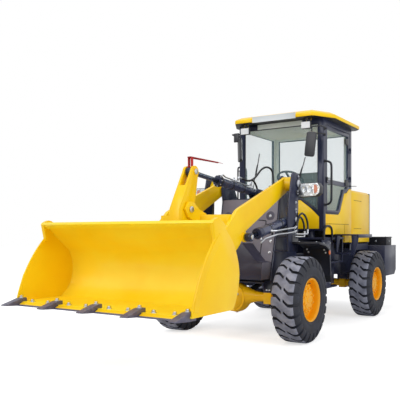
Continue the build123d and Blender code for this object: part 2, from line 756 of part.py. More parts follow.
def door_outline(gap):
    """Door opening less a gap all round, (y, z)."""
    return [
        (door_front_y + gap, 1490 + gap), (1720 - gap / 2, 1490 + gap), (1790 - gap, 1530 + gap),
        (1960 - gap, 1800 + gap), (2060 - gap / 2, 1815 + gap), (door_rear_y - gap, sill_rear_z + gap),
        (door_rear_y - gap, door_top_z - gap), (door_front_y + gap, door_top_z - gap),
    ]


def cowl_outline(x_half, low_z):
    """Front panel below the windscreen, (x, z)."""
    return [
        (-x_half, low_z), (x_half, low_z), (x_half, 1450), (470, 1560), (310, 1680),
        (-310, 1680), (-470, 1560), (-x_half, 1450),
    ]


def screen_outline(gap):
    """Windscreen opening less a gap all round; it dips beside the cowl, (x, z)."""
    half = 560 - gap
    return [
        (-half, door_top_z - gap), (half, door_top_z - gap), (half, 1530 + gap), (475, 1588 + gap),
        (315, 1708 + gap), (-315, 1708 + gap), (-475, 1588 + gap), (-half, 1530 + gap),
    ]


def front_face(outline, y):
    """A plate seen from the front: (x, z) corners, from y[0] to y[1]."""
    wire = Plane.XZ * Polyline(*outline, close=True)
    return Pos(0, y[0], 0) * extrude(make_face(wire), amount=y[1] - y[0], dir=(0, 1, 0))


def cab_shell():
    wall = cab_wall
    outer = block((-cab_half, cab_half), (cab_front_y, cab_rear_y), (cab_floor_z, cab_top_z))
    inner = block((-cab_half + wall, cab_half - wall), (cab_front_y + wall, cab_rear_y - wall),
                  (cab_floor_z + wall, cab_top_z - wall))
    shell = outer - inner
    # side panels and door openings
    for side in (-1, 1):
        low, high = sorted((side * (cab_half - wall), side * (cab_half + 1)))
        shell -= side_plate(panel_outline(), (low, high))
        shell -= side_plate(door_outline(0), (low, high))
    # windscreen and cowl
    front = (cab_front_y - 1, cab_front_y + wall)
    shell -= front_face(screen_outline(0), front)
    shell -= front_face(cowl_outline(cab_half - wall - 20, 1290), front)
    # rear window
    shell -= block((-540, 540), (cab_rear_y - wall - 1, cab_rear_y + 1),
                   (rear_window_z, door_top_z - 10))
    # door hinges: the fixed knuckles and their pin
    for z in hinge_heights:
        shell += block((cab_half - 5, hinge_x), (hinge_y + 6, hinge_y + 30), (z, z + 40))
        shell += upright_pin(hinge_x, hinge_y, 11, (z, z + 40))
        shell += upright_pin(hinge_x, hinge_y, 5, (z - 40, z + 40))
        shell += block((hinge_x - 11, hinge_x), (hinge_y, hinge_y + 30), (z, z + 40))
    return shell


def cab_panels():
    panels = [front_face(cowl_outline(cab_half - cab_wall - 20.3, 1290.3),
                         (cab_front_y + 0.3, cab_front_y + cab_wall - 6))]
    for side in (-1, 1):
        low, high = sorted((side * (cab_half - cab_wall + 0.3), side * cab_half))
        panels.append(side_plate(panel_outline(), (low, high)))
    return panels


def cab_roof():
    plan = [
        (-586, 940), (586, 940), (765, 1280), (765, 2250), (700, 2330),
        (-700, 2330), (-765, 2250), (-765, 1280),
    ]
    slab = flat_plate(plan, (cab_top_z, cab_top_z + roof_thick))
    slab = chamfer(slab.edges().group_by(Axis.Z)[-1], 45, 90)
    # the shallow recess between the two front lobes
    return slab - block((-visor_half, visor_half), (930, 975), (cab_top_z - 1, cab_top_z + 110))


def cab_glass():
    wall = cab_wall
    y = (cab_front_y + wall / 2, cab_front_y + wall / 2 + glass)
    panes = [front_face(screen_outline(seat_gap), y)]
    panes.append(block((-539.7, 539.7), (cab_rear_y - wall / 2, cab_rear_y - wall / 2 + glass),
                       (rear_window_z + seat_gap, door_top_z - 10 - seat_gap)))
    panes.append(side_plate(door_outline(0.3), (-cab_half + 15, -cab_half + 15 + glass)))
    return panes


def door():
    frame = side_plate(door_outline(door_gap), (cab_half - 36, cab_half))
    inset = door_gap + door_frame
    opening = side_plate(door_outline(inset), (cab_half - 40, cab_half + 1))
    rail = block((cab_half - 40, cab_half + 1), (door_front_y, door_rear_y),
                 (door_rail_z, door_rail_z + door_rail))
    frame -= opening - rail
    for z in hinge_heights:
        knuckle = upright_pin(hinge_x, hinge_y, 11, (z - 38, z - 1))
        leaf = block((cab_half + 1, hinge_x), (hinge_y - 50, hinge_y), (z - 38, z - 1))
        foot = block((cab_half - 1, cab_half + 2), (hinge_y - 50, door_rear_y - door_gap - 2),
                     (z - 38, z - 1))
        frame += leaf + foot + knuckle
        frame -= upright_pin(hinge_x, hinge_y, 5 + running_gap, (z - 60, z))
    panes = opening & block((cab_half - 21, cab_half - 21 + glass),
                            (door_front_y, door_rear_y), (1400, cab_top_z))
    panes -= rail
    return frame, panes


def console():
    """Floor console with the steering column and wheel."""
    stand = side_plate([(1215, 1310), (1480, 1310), (1420, 1700), (1300, 1900), (1215, 1900)],
                       (-200, 200))
    stand += round_bar((0, 1360, 1780), (0, 1500, 2000), 24)
    axis = Vector(0, 140, 220)
    ring = Plane(origin=(0, 1500, 2000), z_dir=axis) * Torus(185, 14)
    spokes = Plane(origin=(0, 1500, 2000), z_dir=axis) * (Box(372, 30, 14) + Cylinder(42, 30))
    return stand + ring + spokes


def operator_seat():
    base = block((-200, 200), (1660, 1980), (1310, 1560))
    cushion = block((-245, 245), (1580, 2040), (1540, 1680))
    cushion = fillet(cushion.edges(), 30)
    back = Pos(0, 2050, 1880) * Rot(-8, 0, 0) * Box(470, 110, 580)
    back = fillet(back.edges(), 35)
    return base + cushion + back


def hood():
    front = cab_rear_y + seat_gap
    outer = block((-hood_half, hood_half), (front, hood_rear_y), (hood_bottom_z, hood_top_z))
    outer = chamfer(outer.edges().filter_by(Axis.Y).group_by(Axis.Z)[-1], 40)
    wall = hood_wall
    inner = block((-hood_half + wall, hood_half - wall), (front - 1, hood_rear_y - wall),
                  (hood_bottom_z - 1, hood_top_z - wall))
    inner = chamfer(inner.edges().filter_by(Axis.Y).group_by(Axis.Z)[-1], 36)
    shell = outer - inner
    shell -= block((-470, 470), (hood_rear_y - wall - 1, hood_rear_y + 1), (1180, 1780))
    return shell


def rear_grille():
    y = hood_rear_y
    frame = block((-hood_half + 10, hood_half - 10), (y, y + grille_depth), (1090, 1870))
    frame -= block((-480, 480), (y - 1, y + grille_depth + 1), (1190, 1770))
    bar_count = 14
    pitch = 580 / (bar_count + 1)
    for index in range(bar_count):
        z = 1190 + pitch * (index + 1)
        frame += block((-481, 481), (y + 10, y + 40), (z - 8, z + 8))
    for x in (-160, 160):
        frame += block((x - 6, x + 6), (y + 12, y + 38), (1189, 1771))
    return frame


def counterweight():
    outline = [
        (weight_front_y, weight_top_z), (tail_y, weight_top_z), (tail_y, 625), (3790, weight_bottom_z),
        (weight_front_y, weight_bottom_z),
    ]
    body = side_plate(outline, (-weight_half, weight_half))
    body -= block((-80, 80), (3700, tail_y + 1), (640, 760))
    body -= upright_pin(0, 3810, tow_pin_radius, (400, 1200))
    return body


def battery_box():
    box = block((430, 790), (3560, 3860), (weight_top_z, weight_top_z + 125))
    lid = block((422, 798), (3552, 3868), (weight_top_z + 125, weight_top_z + 140))
    return box + lid


def roof_lamps():
    lamps = []
    for x in (-460, 460):
        lamp = block((x - 66, x + 66), (985, 1040), (cab_top_z - 150, cab_top_z - 55))
        lamp += block((x - 12, x + 12), (1005, 1025), (cab_top_z - 60, cab_top_z))
        lamps.append(lamp)
    return lamps


def mirror_left():
    """Door-side mirror on a bent tube from the front pillar."""
    out = cab_half + 0.3
    near = cab_half - 100
    top = cab_top_z - 130
    tube = tube_path([(out, 1185, top - 5), (out + 45, 1185, top - 5), (out + 30, 1000, top),
                      (near, 1000, top), (near, 1000, top - 200)], 20, 9)
    tube += tube_path([(out, 1185, top - 85), (out + 45, 1185, top - 85), (near, 1000, top - 80)],
                      20, 7)
    head = Box(130, 36, 320)
    head = fillet(head.edges().filter_by(Axis.Y), 30)
    return tube + Pos(near - 8, 985, top - 232) * Rot(0, 7, 0) * head


def build():
    wheels()
    save("front_axle", axle(0, 1))
    save("rear_axle", axle(wheelbase, -1))
    save("front_frame", front_frame())
    save("front_guard", front_guard())
    save("front_fenders", *pair(front_fender()))
    save("headlights", *pair(headlight()))
    save("front_drive_shaft", drive_shaft(0, 1, pivot_y - 60))
    save("rear_drive_shaft", drive_shaft(wheelbase, -1, pivot_y + 60))
    save("boom", boom())
    save("bell_crank", bell_crank())
    save("tilt_link", tilt_link())
    save("bucket_shell", bucket())
    save("bucket_edges", *bucket_edges())
    for name, side in (("left", 1), ("right", -1)):
        tube, bar = lift_cylinder(side)
        save("lift_barrel_" + name, tube)
        save("lift_rod_" + name, bar)
        tube, bar = steering_cylinder(side)
        save("steer_barrel_" + name, tube)
        save("steer_rod_" + name, bar)
    tube, bar = tilt_cylinder()
    save("tilt_barrel", tube)
    save("tilt_rod", bar)
    save("level_indicator", level_indicator())
    save("rear_frame", rear_frame())
    save("side_steps", *pair(side_steps()))
    save("rear_fenders", *pair(rear_fender()))
    save("cab_shell", cab_shell())
    save("cab_panels", *cab_panels())
    save("cab_roof", cab_roof())
    save("cab_glass", *cab_glass())
    leaf, panes = door()
    save("door_frame", leaf)
    save("door_glass", panes)
    save("console", console())
    save("operator_seat", operator_seat())
    save("engine_hood", hood())
    save("rear_grille", rear_grille())
    save("engine_block", block((-engine_half, engine_half), engine_span, (700, 1500)))
    save("counterweight", counterweight())
    save("battery_box", battery_box())
    save("roof_lamps", *roof_lamps())
    save("mirrors", *pair(mirror_left()))


build()
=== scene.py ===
import bpy
import bmesh
import json
from math import cos, exp, pi, radians, sin
from mathutils import Matrix, Vector

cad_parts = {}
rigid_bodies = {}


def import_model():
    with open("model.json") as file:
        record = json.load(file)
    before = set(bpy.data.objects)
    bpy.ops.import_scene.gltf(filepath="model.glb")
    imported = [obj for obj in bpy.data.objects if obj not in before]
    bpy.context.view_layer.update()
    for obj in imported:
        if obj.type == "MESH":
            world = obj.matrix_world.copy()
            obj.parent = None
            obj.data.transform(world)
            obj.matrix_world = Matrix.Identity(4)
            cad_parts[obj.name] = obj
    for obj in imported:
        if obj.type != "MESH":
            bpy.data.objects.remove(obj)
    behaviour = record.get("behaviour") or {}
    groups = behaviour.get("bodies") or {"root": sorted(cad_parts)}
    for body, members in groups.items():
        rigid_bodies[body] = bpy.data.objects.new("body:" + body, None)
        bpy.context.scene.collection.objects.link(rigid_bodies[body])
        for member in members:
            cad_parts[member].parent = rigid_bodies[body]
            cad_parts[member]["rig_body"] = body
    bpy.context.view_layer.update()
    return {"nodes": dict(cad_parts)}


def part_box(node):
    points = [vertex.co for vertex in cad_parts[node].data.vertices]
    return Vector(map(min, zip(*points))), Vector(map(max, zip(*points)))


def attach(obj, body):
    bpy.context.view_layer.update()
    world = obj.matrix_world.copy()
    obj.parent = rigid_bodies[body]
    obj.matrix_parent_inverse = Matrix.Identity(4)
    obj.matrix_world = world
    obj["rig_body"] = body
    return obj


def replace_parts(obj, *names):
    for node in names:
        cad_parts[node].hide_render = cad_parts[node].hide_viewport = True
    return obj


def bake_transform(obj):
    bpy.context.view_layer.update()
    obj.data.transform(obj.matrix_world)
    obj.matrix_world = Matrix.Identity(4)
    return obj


# Compact wheel loader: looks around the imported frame. Metres, +Z up, -Y is the bucket end.
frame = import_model()
nodes = frame["nodes"]
corners = ("front_left", "front_right", "rear_left", "rear_right")
flanks = (("left", 1), ("right", -1))


# small tools for working as by hand
def deselectAll():
    if bpy.context.object and bpy.context.object.mode != "OBJECT":
        bpy.ops.object.mode_set(mode="OBJECT")
    bpy.ops.object.select_all(action="DESELECT")


def addToScene(obj):
    bpy.context.scene.collection.objects.link(obj)


def pick(*objs):
    deselectAll()
    for obj in objs:
        obj.select_set(True)
    bpy.context.view_layer.objects.active = objs[0]


def useModifier(obj, kind, **settings):
    # adds a modifier, sets it and applies it
    pick(obj)
    mod = obj.modifiers.new("step", kind)
    for key, value in settings.items():
        setattr(mod, key, value)
    bpy.ops.object.modifier_apply(modifier=mod.name)
    return obj


def settle(obj):
    # place, turn and size go into the mesh
    pick(obj)
    bpy.ops.object.transform_apply(location=True, rotation=True, scale=True)
    return obj


def addBlock(low, high):
    deselectAll()
    middle = [(a + b) / 2 for a, b in zip(low, high)]
    bpy.ops.mesh.primitive_cube_add(size=1, location=middle)
    obj = bpy.context.object
    obj.scale = [abs(b - a) for a, b in zip(low, high)]
    return settle(obj)


def addRound(start, end, radius, sides, endRadius=None):
    # a round bar, or a cone, between two points
    deselectAll()
    start, end = Vector(start), Vector(end)
    run = end - start
    turn = run.to_track_quat("Z", "Y").to_euler()
    bpy.ops.mesh.primitive_cone_add(
        vertices=sides, radius1=radius, radius2=radius if endRadius is None else endRadius,
        depth=run.length, location=(start + end) / 2, rotation=turn)
    return settle(bpy.context.object)


def enterEdit(obj, chosen):
    # edit mode with all or none of the mesh chosen
    pick(obj)
    bpy.ops.object.mode_set(mode="EDIT")
    bpy.ops.mesh.select_all(action="SELECT" if chosen else "DESELECT")


def leaveEdit():
    bpy.ops.object.mode_set(mode="OBJECT")


def turnOutward():
    bpy.ops.mesh.select_all(action="SELECT")
    bpy.ops.mesh.normals_make_consistent(inside=False)
    leaveEdit()


# faces by where they look, for a test given by its name
looking = {
    "front": lambda c, n: n.y < -0.9, "back": lambda c, n: n.y > 0.9,
    "up": lambda c, n: n.z > 0.9, "down": lambda c, n: n.z < -0.9, "left": lambda c, n: n.x > 0.9,
    "leftAndRight": lambda c, n: abs(n.x) > 0.9, "upAndDown": lambda c, n: abs(n.z) > 0.9,
    "around": lambda c, n: abs(n.z) < 0.1,
}


def chooseFaces(obj, test):
    # edit mode with the faces chosen whose centre and normal pass the test
    enterEdit(obj, False)
    bpy.ops.mesh.select_mode(type="FACE")
    mesh = bmesh.from_edit_mesh(obj.data)
    passes = looking.get(test, test)
    for face in mesh.faces:
        face.select = passes(face.calc_center_median(), face.normal)
    bmesh.update_edit_mesh(obj.data)


def insetFaces(obj, test, width, depth):
    chooseFaces(obj, test)
    bpy.ops.mesh.inset(thickness=width, depth=depth)
    leaveEdit()
    return obj


def joinAll(objs):
    pick(*objs)
    if len(objs) > 1:
        bpy.ops.object.join()
    return bpy.context.view_layer.objects.active


def copyOf(obj, matrix):
    # a copy with its own mesh, moved by the matrix
    twin = obj.copy()
    twin.data = obj.data.copy()
    addToScene(twin)
    twin.data.transform(matrix)
    return twin


def mirrorOf(obj):
    twin = copyOf(obj, Matrix.Scale(-1, 4, (1, 0, 0)))
    enterEdit(twin, True)
    bpy.ops.mesh.flip_normals()
    leaveEdit()
    return twin


def smooth(obj, angle):
    pick(obj)
    bpy.ops.object.shade_smooth_by_angle(angle=radians(angle))
    return obj


def coverWith(obj, material):
    obj.data.materials.clear()
    obj.data.materials.append(material)
    for polygon in obj.data.polygons:
        polygon.material_index = 0


def bevelEdges(obj, width, steps=2, angle=50):
    return useModifier(obj, "BEVEL", width=width, segments=steps, limit_method="ANGLE", angle_limit=radians(angle))


def eased(obj, width, steps=2):
    return smooth(bevelEdges(obj, width, steps, 40), 40)


def dressPiece(obj, name, material):
    obj.name = obj.data.name = name
    coverWith(obj, material)
    return obj


def bodyOf(node):
    return nodes[node]["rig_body"]


def finishPiece(obj, name, node, finish):
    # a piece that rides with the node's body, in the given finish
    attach(dressPiece(obj, name, paint[finish]), bodyOf(node))
    return obj


def easedCopy(node, edge, finish):
    # the frame's own piece with its plate edges eased by a small bevel
    obj = nodes[node].copy()
    obj.data = nodes[node].data.copy()
    for key in list(obj.keys()):
        del obj[key]
    obj.parent = None
    addToScene(obj)
    enterEdit(obj, True)
    bpy.ops.mesh.remove_doubles(threshold=0.00005)
    bpy.ops.mesh.dissolve_limited(angle_limit=radians(1.5))
    leaveEdit()
    smooth(bevelEdges(obj, edge, 2, 30), 40)
    finishPiece(obj, node + "_eased", node, finish)
    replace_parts(obj, node)
    return obj


def middleOf(node):
    low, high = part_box(node)
    return Vector([(a + b) / 2 for a, b in zip(low, high)])


# places are given as on the machine: from its middle, from the front axle, from the ground
frontY = sum(corner[1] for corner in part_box("tyre_front_left")) / 2


def spot(x, y, z):
    return Vector((x, y + frontY, z))


def spots(*places):
    return [spot(*place) for place in places]


def addSlab(low, high):
    return addBlock(spot(*low), spot(*high))


def pressedSlab(low, high, test, width, depth, edge, steps=2):
    # a block with some faces set in or raised and its edges eased
    return eased(insetFaces(addSlab(low, high), test, width, depth), edge, steps)


def addPlate(outline, run):
    # a flat plate from its corners, thickened along a run
    deselectAll()
    bpy.ops.mesh.primitive_circle_add(vertices=len(outline), fill_type="NGON")
    obj = bpy.context.object
    for vertex, corner in zip(obj.data.vertices, outline):
        vertex.co = corner
    enterEdit(obj, True)
    bpy.ops.mesh.extrude_region_move(TRANSFORM_OT_translate={"value": run})
    turnOutward()
    return obj


def addLathe(profile, centre, axis, steps):
    # a ring spun from a closed outline of (along the axis, radius)
    deselectAll()
    bpy.ops.mesh.primitive_circle_add(vertices=len(profile), fill_type="NOTHING")
    obj = bpy.context.object
    centre, axis = Vector(centre), Vector(axis).normalized()
    side = axis.orthogonal().normalized()
    for vertex, (along, out) in zip(obj.data.vertices, profile):
        vertex.co = centre + axis * along + side * out
    enterEdit(obj, True)
    bpy.ops.mesh.spin(steps=steps, angle=2 * pi, center=centre, axis=axis)
    bpy.ops.mesh.select_all(action="SELECT")
    bpy.ops.mesh.remove_doubles(threshold=0.00002)
    turnOutward()
    return obj


def addTurned(profile, centre, axis, steps, angle=40):
    return smooth(addLathe(profile, centre, axis, steps), angle)


def addTube(points, radius, sides=8, order=3, cyclic=False):
    # a smooth tube through a route, as a hose or a bent bar
    deselectAll()
    data = bpy.data.curves.new("route", "CURVE")
    data.dimensions = "3D"
    data.bevel_depth = radius
    data.bevel_resolution = max(1, sides // 4)
    data.resolution_u = 6
    data.use_fill_caps = not cyclic
    spline = data.splines.new("NURBS")
    spline.points.add(len(points) - 1)
    for point, place in zip(spline.points, points):
        point.co = (*place, 1)
    spline.order_u = order
    spline.use_endpoint_u = not cyclic
    spline.use_cyclic_u = cyclic
    obj = bpy.data.objects.new("route", data)
    addToScene(obj)
    pick(obj)
    bpy.ops.object.convert(target="MESH")
    return smooth(bpy.context.object, 60)


def addBentBar(turns, radius, bend, sides=8):
    # straight runs joined by short round bends
    route = [Vector(turns[0])]
    for before, corner, after in zip(turns, turns[1:], turns[2:]):
        corner = Vector(corner)
        back, ahead = Vector(before) - corner, Vector(after) - corner
        near = min(bend, 0.45 * back.length, 0.45 * ahead.length)
        for way, share in ((back, 1), (back, 0.25), (ahead, 0.25), (ahead, 1)):
            route.append(corner + way.normalized() * near * share)
    route.append(Vector(turns[-1]))
    return addTube(route, radius, sides)


def turnsOf(count, start=0.0):
    # equal steps round a circle
    return [2 * pi * (index + start) / count for index in range(count)]


def turnAbout(point, degrees, axis):
    return Matrix.Translation(point) @ Matrix.Rotation(radians(degrees), 4, axis) @ Matrix.Translation(-point)


def boltPattern(size, washer):
    # one hexagon bolt head, on a washer or without, along +Z
    head = addRound((0, 0, 0), (0, 0, 0.62 * size), 0.5 * size, 6)
    insetFaces(head, "up", 0.1 * size, 0.06 * size)
    pieces = [head]
    if washer:
        disc = addRound((0, 0, 0), (0, 0, 0.14 * size), 0.72 * size, 14)
        insetFaces(disc, "up", 0.05 * size, 0.03 * size)
        pieces.append(disc)
    return joinAll(pieces)


def boltsAt(places, size, washer=True):
    # bolts at places given as (point, direction out of the surface)
    pattern = boltPattern(size, washer)
    copies = []
    for point, out in places:
        turn = Vector(out).to_track_quat("Z", "Y").to_matrix().to_4x4()
        copies.append(copyOf(pattern, Matrix.Translation(point) @ turn))
    bpy.data.objects.remove(pattern)
    return joinAll(copies)


def stud(point, out, radius, height, sides=20):
    # a round pin end with a chamfered rim and a dimple
    point, out = Vector(point), Vector(out).normalized()
    obj = addRound(point, point + out * height, radius, sides)
    insetFaces(obj, lambda c, n: n.dot(out) > 0.9, radius * 0.16, height * 0.18)
    insetFaces(obj, lambda c, n: n.dot(out) > 0.9, radius * 0.45, -height * 0.12)
    return smooth(obj, 50)


# colours and finishes
def linear(hexText):
    parts = [int(hexText[i:i + 2], 16) / 255 for i in (1, 3, 5)]
    low = [c / 12.92 if c <= 0.04045 else ((c + 0.055) / 1.055) ** 2.4 for c in parts]
    return (*low, 1)


def addNode(tree, kind, links, **values):
    # one node: attributes and inputs by name, links from {input: output socket}
    node = tree.nodes.new(kind)
    for key, value in values.items():
        if hasattr(node, key):
            setattr(node, key, value)
        else:
            node.inputs[key.replace("_", " ")].default_value = value
    for key, source in links.items():
        tree.links.new(source, node.inputs[key])
    return node


def startMaterial(name, base, roughness, **settings):
    # a named material with its shader set, and where patterns are measured
    material = bpy.data.materials.new(name)
    material.use_nodes = True
    tree = material.node_tree
    shader = tree.nodes["Principled BSDF"]
    shader.inputs["Base Color"].default_value = linear(base)
    shader.inputs["Roughness"].default_value = roughness
    for key, value in settings.items():
        shader.inputs[key.replace("_", " ")].default_value = value
    place = tree.nodes.new("ShaderNodeTexCoord").outputs["Object"]
    return material, tree, shader, place


def shadeBetween(tree, shader, place, scale, dark, light, low=0.35, high=0.65):
    # soft patches between two colours, scale in patterns per metre
    noise = addNode(tree, "ShaderNodeTexNoise", {"Vector": place}, Scale=scale, Detail=3.0)
    ramp = addNode(tree, "ShaderNodeValToRGB", {"Fac": noise.outputs["Fac"]})
    ramp.color_ramp.elements[0].position = low
    ramp.color_ramp.elements[0].color = linear(dark)
    ramp.color_ramp.elements[1].position = high
    ramp.color_ramp.elements[1].color = linear(light)
    tree.links.new(ramp.outputs["Color"], shader.inputs["Base Color"])


def bumpFrom(tree, shader, height, strength, distance):
    bump = addNode(tree, "ShaderNodeBump", {"Height": height}, Strength=strength, Distance=distance)
    tree.links.new(bump.outputs["Normal"], shader.inputs["Normal"])


def sprayedEnamel(name, dark, light, roughness, peel=0.12, coat=0.08, sheen=0.28):
    # machine enamel sprayed over steel: even colour, slight orange peel, soft gloss
    material, tree, shader, place = startMaterial(
        name, light, roughness, Coat_Weight=coat, Coat_Roughness=0.12)
    shader.inputs["Specular IOR Level"].default_value = sheen
    shadeBetween(tree, shader, place, 2.2, dark, light, 0.3, 0.6)
    # the peel is 4 mm across, coarser than real so that it shows
    peelNoise = addNode(tree, "ShaderNodeTexNoise", {"Vector": place}, Scale=250.0, Detail=1.0)
    bumpFrom(tree, shader, peelNoise.outputs["Fac"], peel, 0.0004)
    gloss = addNode(tree, "ShaderNodeTexNoise", {"Vector": place}, Scale=6.0, Detail=4.0)
    spread = addNode(tree, "ShaderNodeMapRange", {"Value": gloss.outputs["Fac"]},
                     To_Min=roughness - 0.05, To_Max=roughness + 0.08)
    tree.links.new(spread.outputs["Result"], shader.inputs["Roughness"])
    return material


def grainySkin(name, dark, light, roughness, patches, grains, detail, strength, deep):
    # matt skin in two close shades, patches and grains counted per metre
    material, tree, shader, place = startMaterial(name, light, roughness)
    shadeBetween(tree, shader, place, patches, dark, light)
    grain = addNode(tree, "ShaderNodeTexNoise", {"Vector": place}, Scale=grains, Detail=detail)
    bumpFrom(tree, shader, grain.outputs["Fac"], strength, deep)
    return material


def mouldedRubber(name, dark, light, roughness):
    # rubber: matt, faintly blue-grey with bloom
    return grainySkin(name, dark, light, roughness, 9.0, 180.0, 4.0, 0.35, 0.0015)


def castIron(name, dark, light, roughness):
    # sand-cast, grainy skin under paint or bare
    return grainySkin(name, dark, light, roughness, 14.0, 320.0, 5.0, 0.4, 0.001)


def bareSteel(name, base, roughness, brushed=40.0):
    # ground or plated steel with fine lengthwise scratches
    material, tree, shader, place = startMaterial(name, base, roughness, Metallic=1.0)
    stretch = addNode(tree, "ShaderNodeMapping", {"Vector": place})
    stretch.inputs["Scale"].default_value = (brushed, 4.0, brushed)
    lines = addNode(tree, "ShaderNodeTexNoise", {"Vector": stretch.outputs["Vector"]},
                    Scale=8.0, Detail=3.0)
    spread = addNode(tree, "ShaderNodeMapRange", {"Value": lines.outputs["Fac"]},
                     To_Min=max(0.02, roughness - 0.08), To_Max=roughness + 0.12)
    tree.links.new(spread.outputs["Result"], shader.inputs["Roughness"])
    return material


def mouldedPlastic(name, base, light, roughness, grainSize=0.6):
    # injection-moulded plastic with a fine leather-like grain
    material, tree, shader, place = startMaterial(name, base, roughness)
    shadeBetween(tree, shader, place, 5.0, base, light)
    grain = addNode(tree, "ShaderNodeTexVoronoi", {"Vector": place},
                    Scale=1000.0 / (grainSize * 6))
    bumpFrom(tree, shader, grain.outputs["Distance"], 0.15, 0.0005)
    return material


def cabGlass():
    # tinted safety glass: a pale grey-green film over what is behind it, with sharp reflections
    material, tree, shader, place = startMaterial(
        "tinted_safety_glass", "#a9d0da", 0.03, Alpha=0.11, IOR=1.5)
    shadeBetween(tree, shader, place, 1.6, "#9fc6cf", "#b3d8e0", 0.3, 0.7)
    return material


def clearPlastic(name, tint, cover):
    # moulded lamp lens: tinted clear plastic with fine vertical flutes, sharply glossy
    material, tree, shader, place = startMaterial(name, tint, 0.06, Alpha=cover, IOR=1.49)
    flutes = addNode(tree, "ShaderNodeTexWave", {"Vector": place}, Scale=28.0, Distortion=0.4)
    bumpFrom(tree, shader, flutes.outputs["Fac"], 0.3, 0.002)
    return material


def facetedReflector():
    # vacuum-metallised plastic in small facets, 12 mm across
    material, tree, shader, place = startMaterial("metallised_reflector", "#e2e6ea", 0.12, Metallic=1.0)
    facets = addNode(tree, "ShaderNodeTexVoronoi", {"Vector": place}, Scale=85.0)
    bumpFrom(tree, shader, facets.outputs["Distance"], 0.6, 0.004)
    tint = addNode(tree, "ShaderNodeValToRGB", {"Fac": facets.outputs["Distance"]})
    tint.color_ramp.elements[0].color = linear("#f2f5f7")
    tint.color_ramp.elements[1].color = linear("#b9bec6")
    tree.links.new(tint.outputs["Color"], shader.inputs["Base Color"])
    return material


paint = {
    "yellow": sprayedEnamel("yellow_enamel", "#fac700", "#ffd304", 0.34),
    "axleYellow": sprayedEnamel("axle_enamel", "#ffbe00", "#ffc80c", 0.34),
    "rimYellow": sprayedEnamel("rim_enamel", "#f0a408", "#f8b112", 0.36),
    "navyGrey": sprayedEnamel("navy_grey_enamel", "#23273d", "#2b3049", 0.3),
    "cylinderNavy": sprayedEnamel("cylinder_enamel", "#2a304a", "#353d5c", 0.26, 0.06, 0.4, 0.5),
    # a lighter, more lemon copy of the yellow for the bucket's inside: painted light against the shade and warm bounce
    # inside the bucket
    "bucketInsideLightened": sprayedEnamel("bucket_inside_enamel", "#ffd814", "#ffe22c", 0.34, 0.12, 0.2, 0.4),
    "guardGrey": sprayedEnamel("guard_grey_enamel", "#716e7b", "#7e7a87", 0.38),
    # a darker copy of the guard grey for its lower nose: painted shade on the folded faces
    "guardNoseShade": sprayedEnamel("guard_nose_enamel", "#2b2a3c", "#353447", 0.34),
    "blackPaint": sprayedEnamel("black_enamel", "#1b1d24", "#22242c", 0.4),
    "red": sprayedEnamel("red_enamel", "#b51414", "#c81c1a", 0.4),
    "rubber": mouldedRubber("tyre_rubber", "#151823", "#1f2331", 0.66),
    # lighter rubber for the tread's outward faces: a painted highlight where the light falls on the tread
    "treadRubberHighlight": mouldedRubber("worn_tread_rubber", "#6d7080", "#9396a6", 0.75),
    "hoseRubber": mouldedRubber("hose_rubber", "#14151a", "#1c1d23", 0.5),
    "iron": castIron("engine_cast_iron", "#2b2b2e", "#38383b", 0.7),
    "edgeSteel": castIron("forged_edge_steel", "#4d4a5e", "#615f70", 0.45),
    "chrome": bareSteel("chromed_rod", "#77839d", 0.16),
    "dishGrey": sprayedEnamel("guard_dish_enamel", "#4a4858", "#545263", 0.4),
    "reflector": facetedReflector(),
    "mirrorGlass": bareSteel("silvered_glass", "#dfe5ea", 0.04, 1.0),
    "plated": bareSteel("zinc_plated_steel", "#c9ccd2", 0.28),
    "blackPlastic": mouldedPlastic("black_abs", "#1d1e24", "#26272e", 0.45),
    "fenderPlastic": mouldedPlastic("fender_polythene", "#20222b", "#2a2c37", 0.42),
    "cabPlastic": mouldedPlastic("cab_trim_plastic", "#24262a", "#2f3136", 0.6),
    "vinyl": mouldedPlastic("seat_vinyl", "#1f1f23", "#2a2a2f", 0.5, 1.2),
    "lampWhite": mouldedPlastic("lamp_white_abs", "#dfe2e6", "#eef0f3", 0.3),
    "seamShadow": mouldedPlastic("seam_shadow", "#6a4a08", "#7a560c", 0.8),
    "seatVinyl": mouldedPlastic("seat_olive_vinyl", "#35372f", "#45473c", 0.5, 1.2),
    # a pale felt liner, lightened beyond its own colour as painted light to make up for the shade inside the cab
    "linerLightened": mouldedPlastic("cab_liner_felt", "#ecf2e6", "#f4f8f0", 0.85),
    "paleStrip": sprayedEnamel("roof_plate_enamel", "#cdd5da", "#dbe1e5", 0.35),
    "wireYellow": mouldedPlastic("yellow_pvc_lead", "#d3b010", "#e6c61c", 0.5),
    "darkRed": sprayedEnamel("dark_red_enamel", "#8a1012", "#a01416", 0.45),
    "amber": clearPlastic("amber_acrylic", "#f0762a", 0.7),
    "redLens": clearPlastic("red_acrylic", "#b81a14", 0.92),
    "lampGlass": clearPlastic("clear_polycarbonate", "#f2f6fa", 0.14),
    # a pale strip colour that stands in for lit glass over the top rail, lightened against the shade under the roof:
    # painted light
    "bandPaintedLight": sprayedEnamel("screen_band_ceramic", "#dfe9e0", "#ecf3ec", 0.25),
    "glass": cabGlass(),
}
print("finishes ready:", len(paint))


# studio: pale floor, plain soft light, camera at the front left corner
studio = {
    "cameraPlace": (3.493, -6.586, 1.223), "cameraLook": (-0.5195, 0.8545, 0.0),
    "lens": 51.37, "shiftX": -0.0731, "shiftY": 0.0847,
    "floorHalf": 40.0, "floorColour": "#e9e9ea", "skyLevel": 0.5, "floorGlow": 0.62,
}


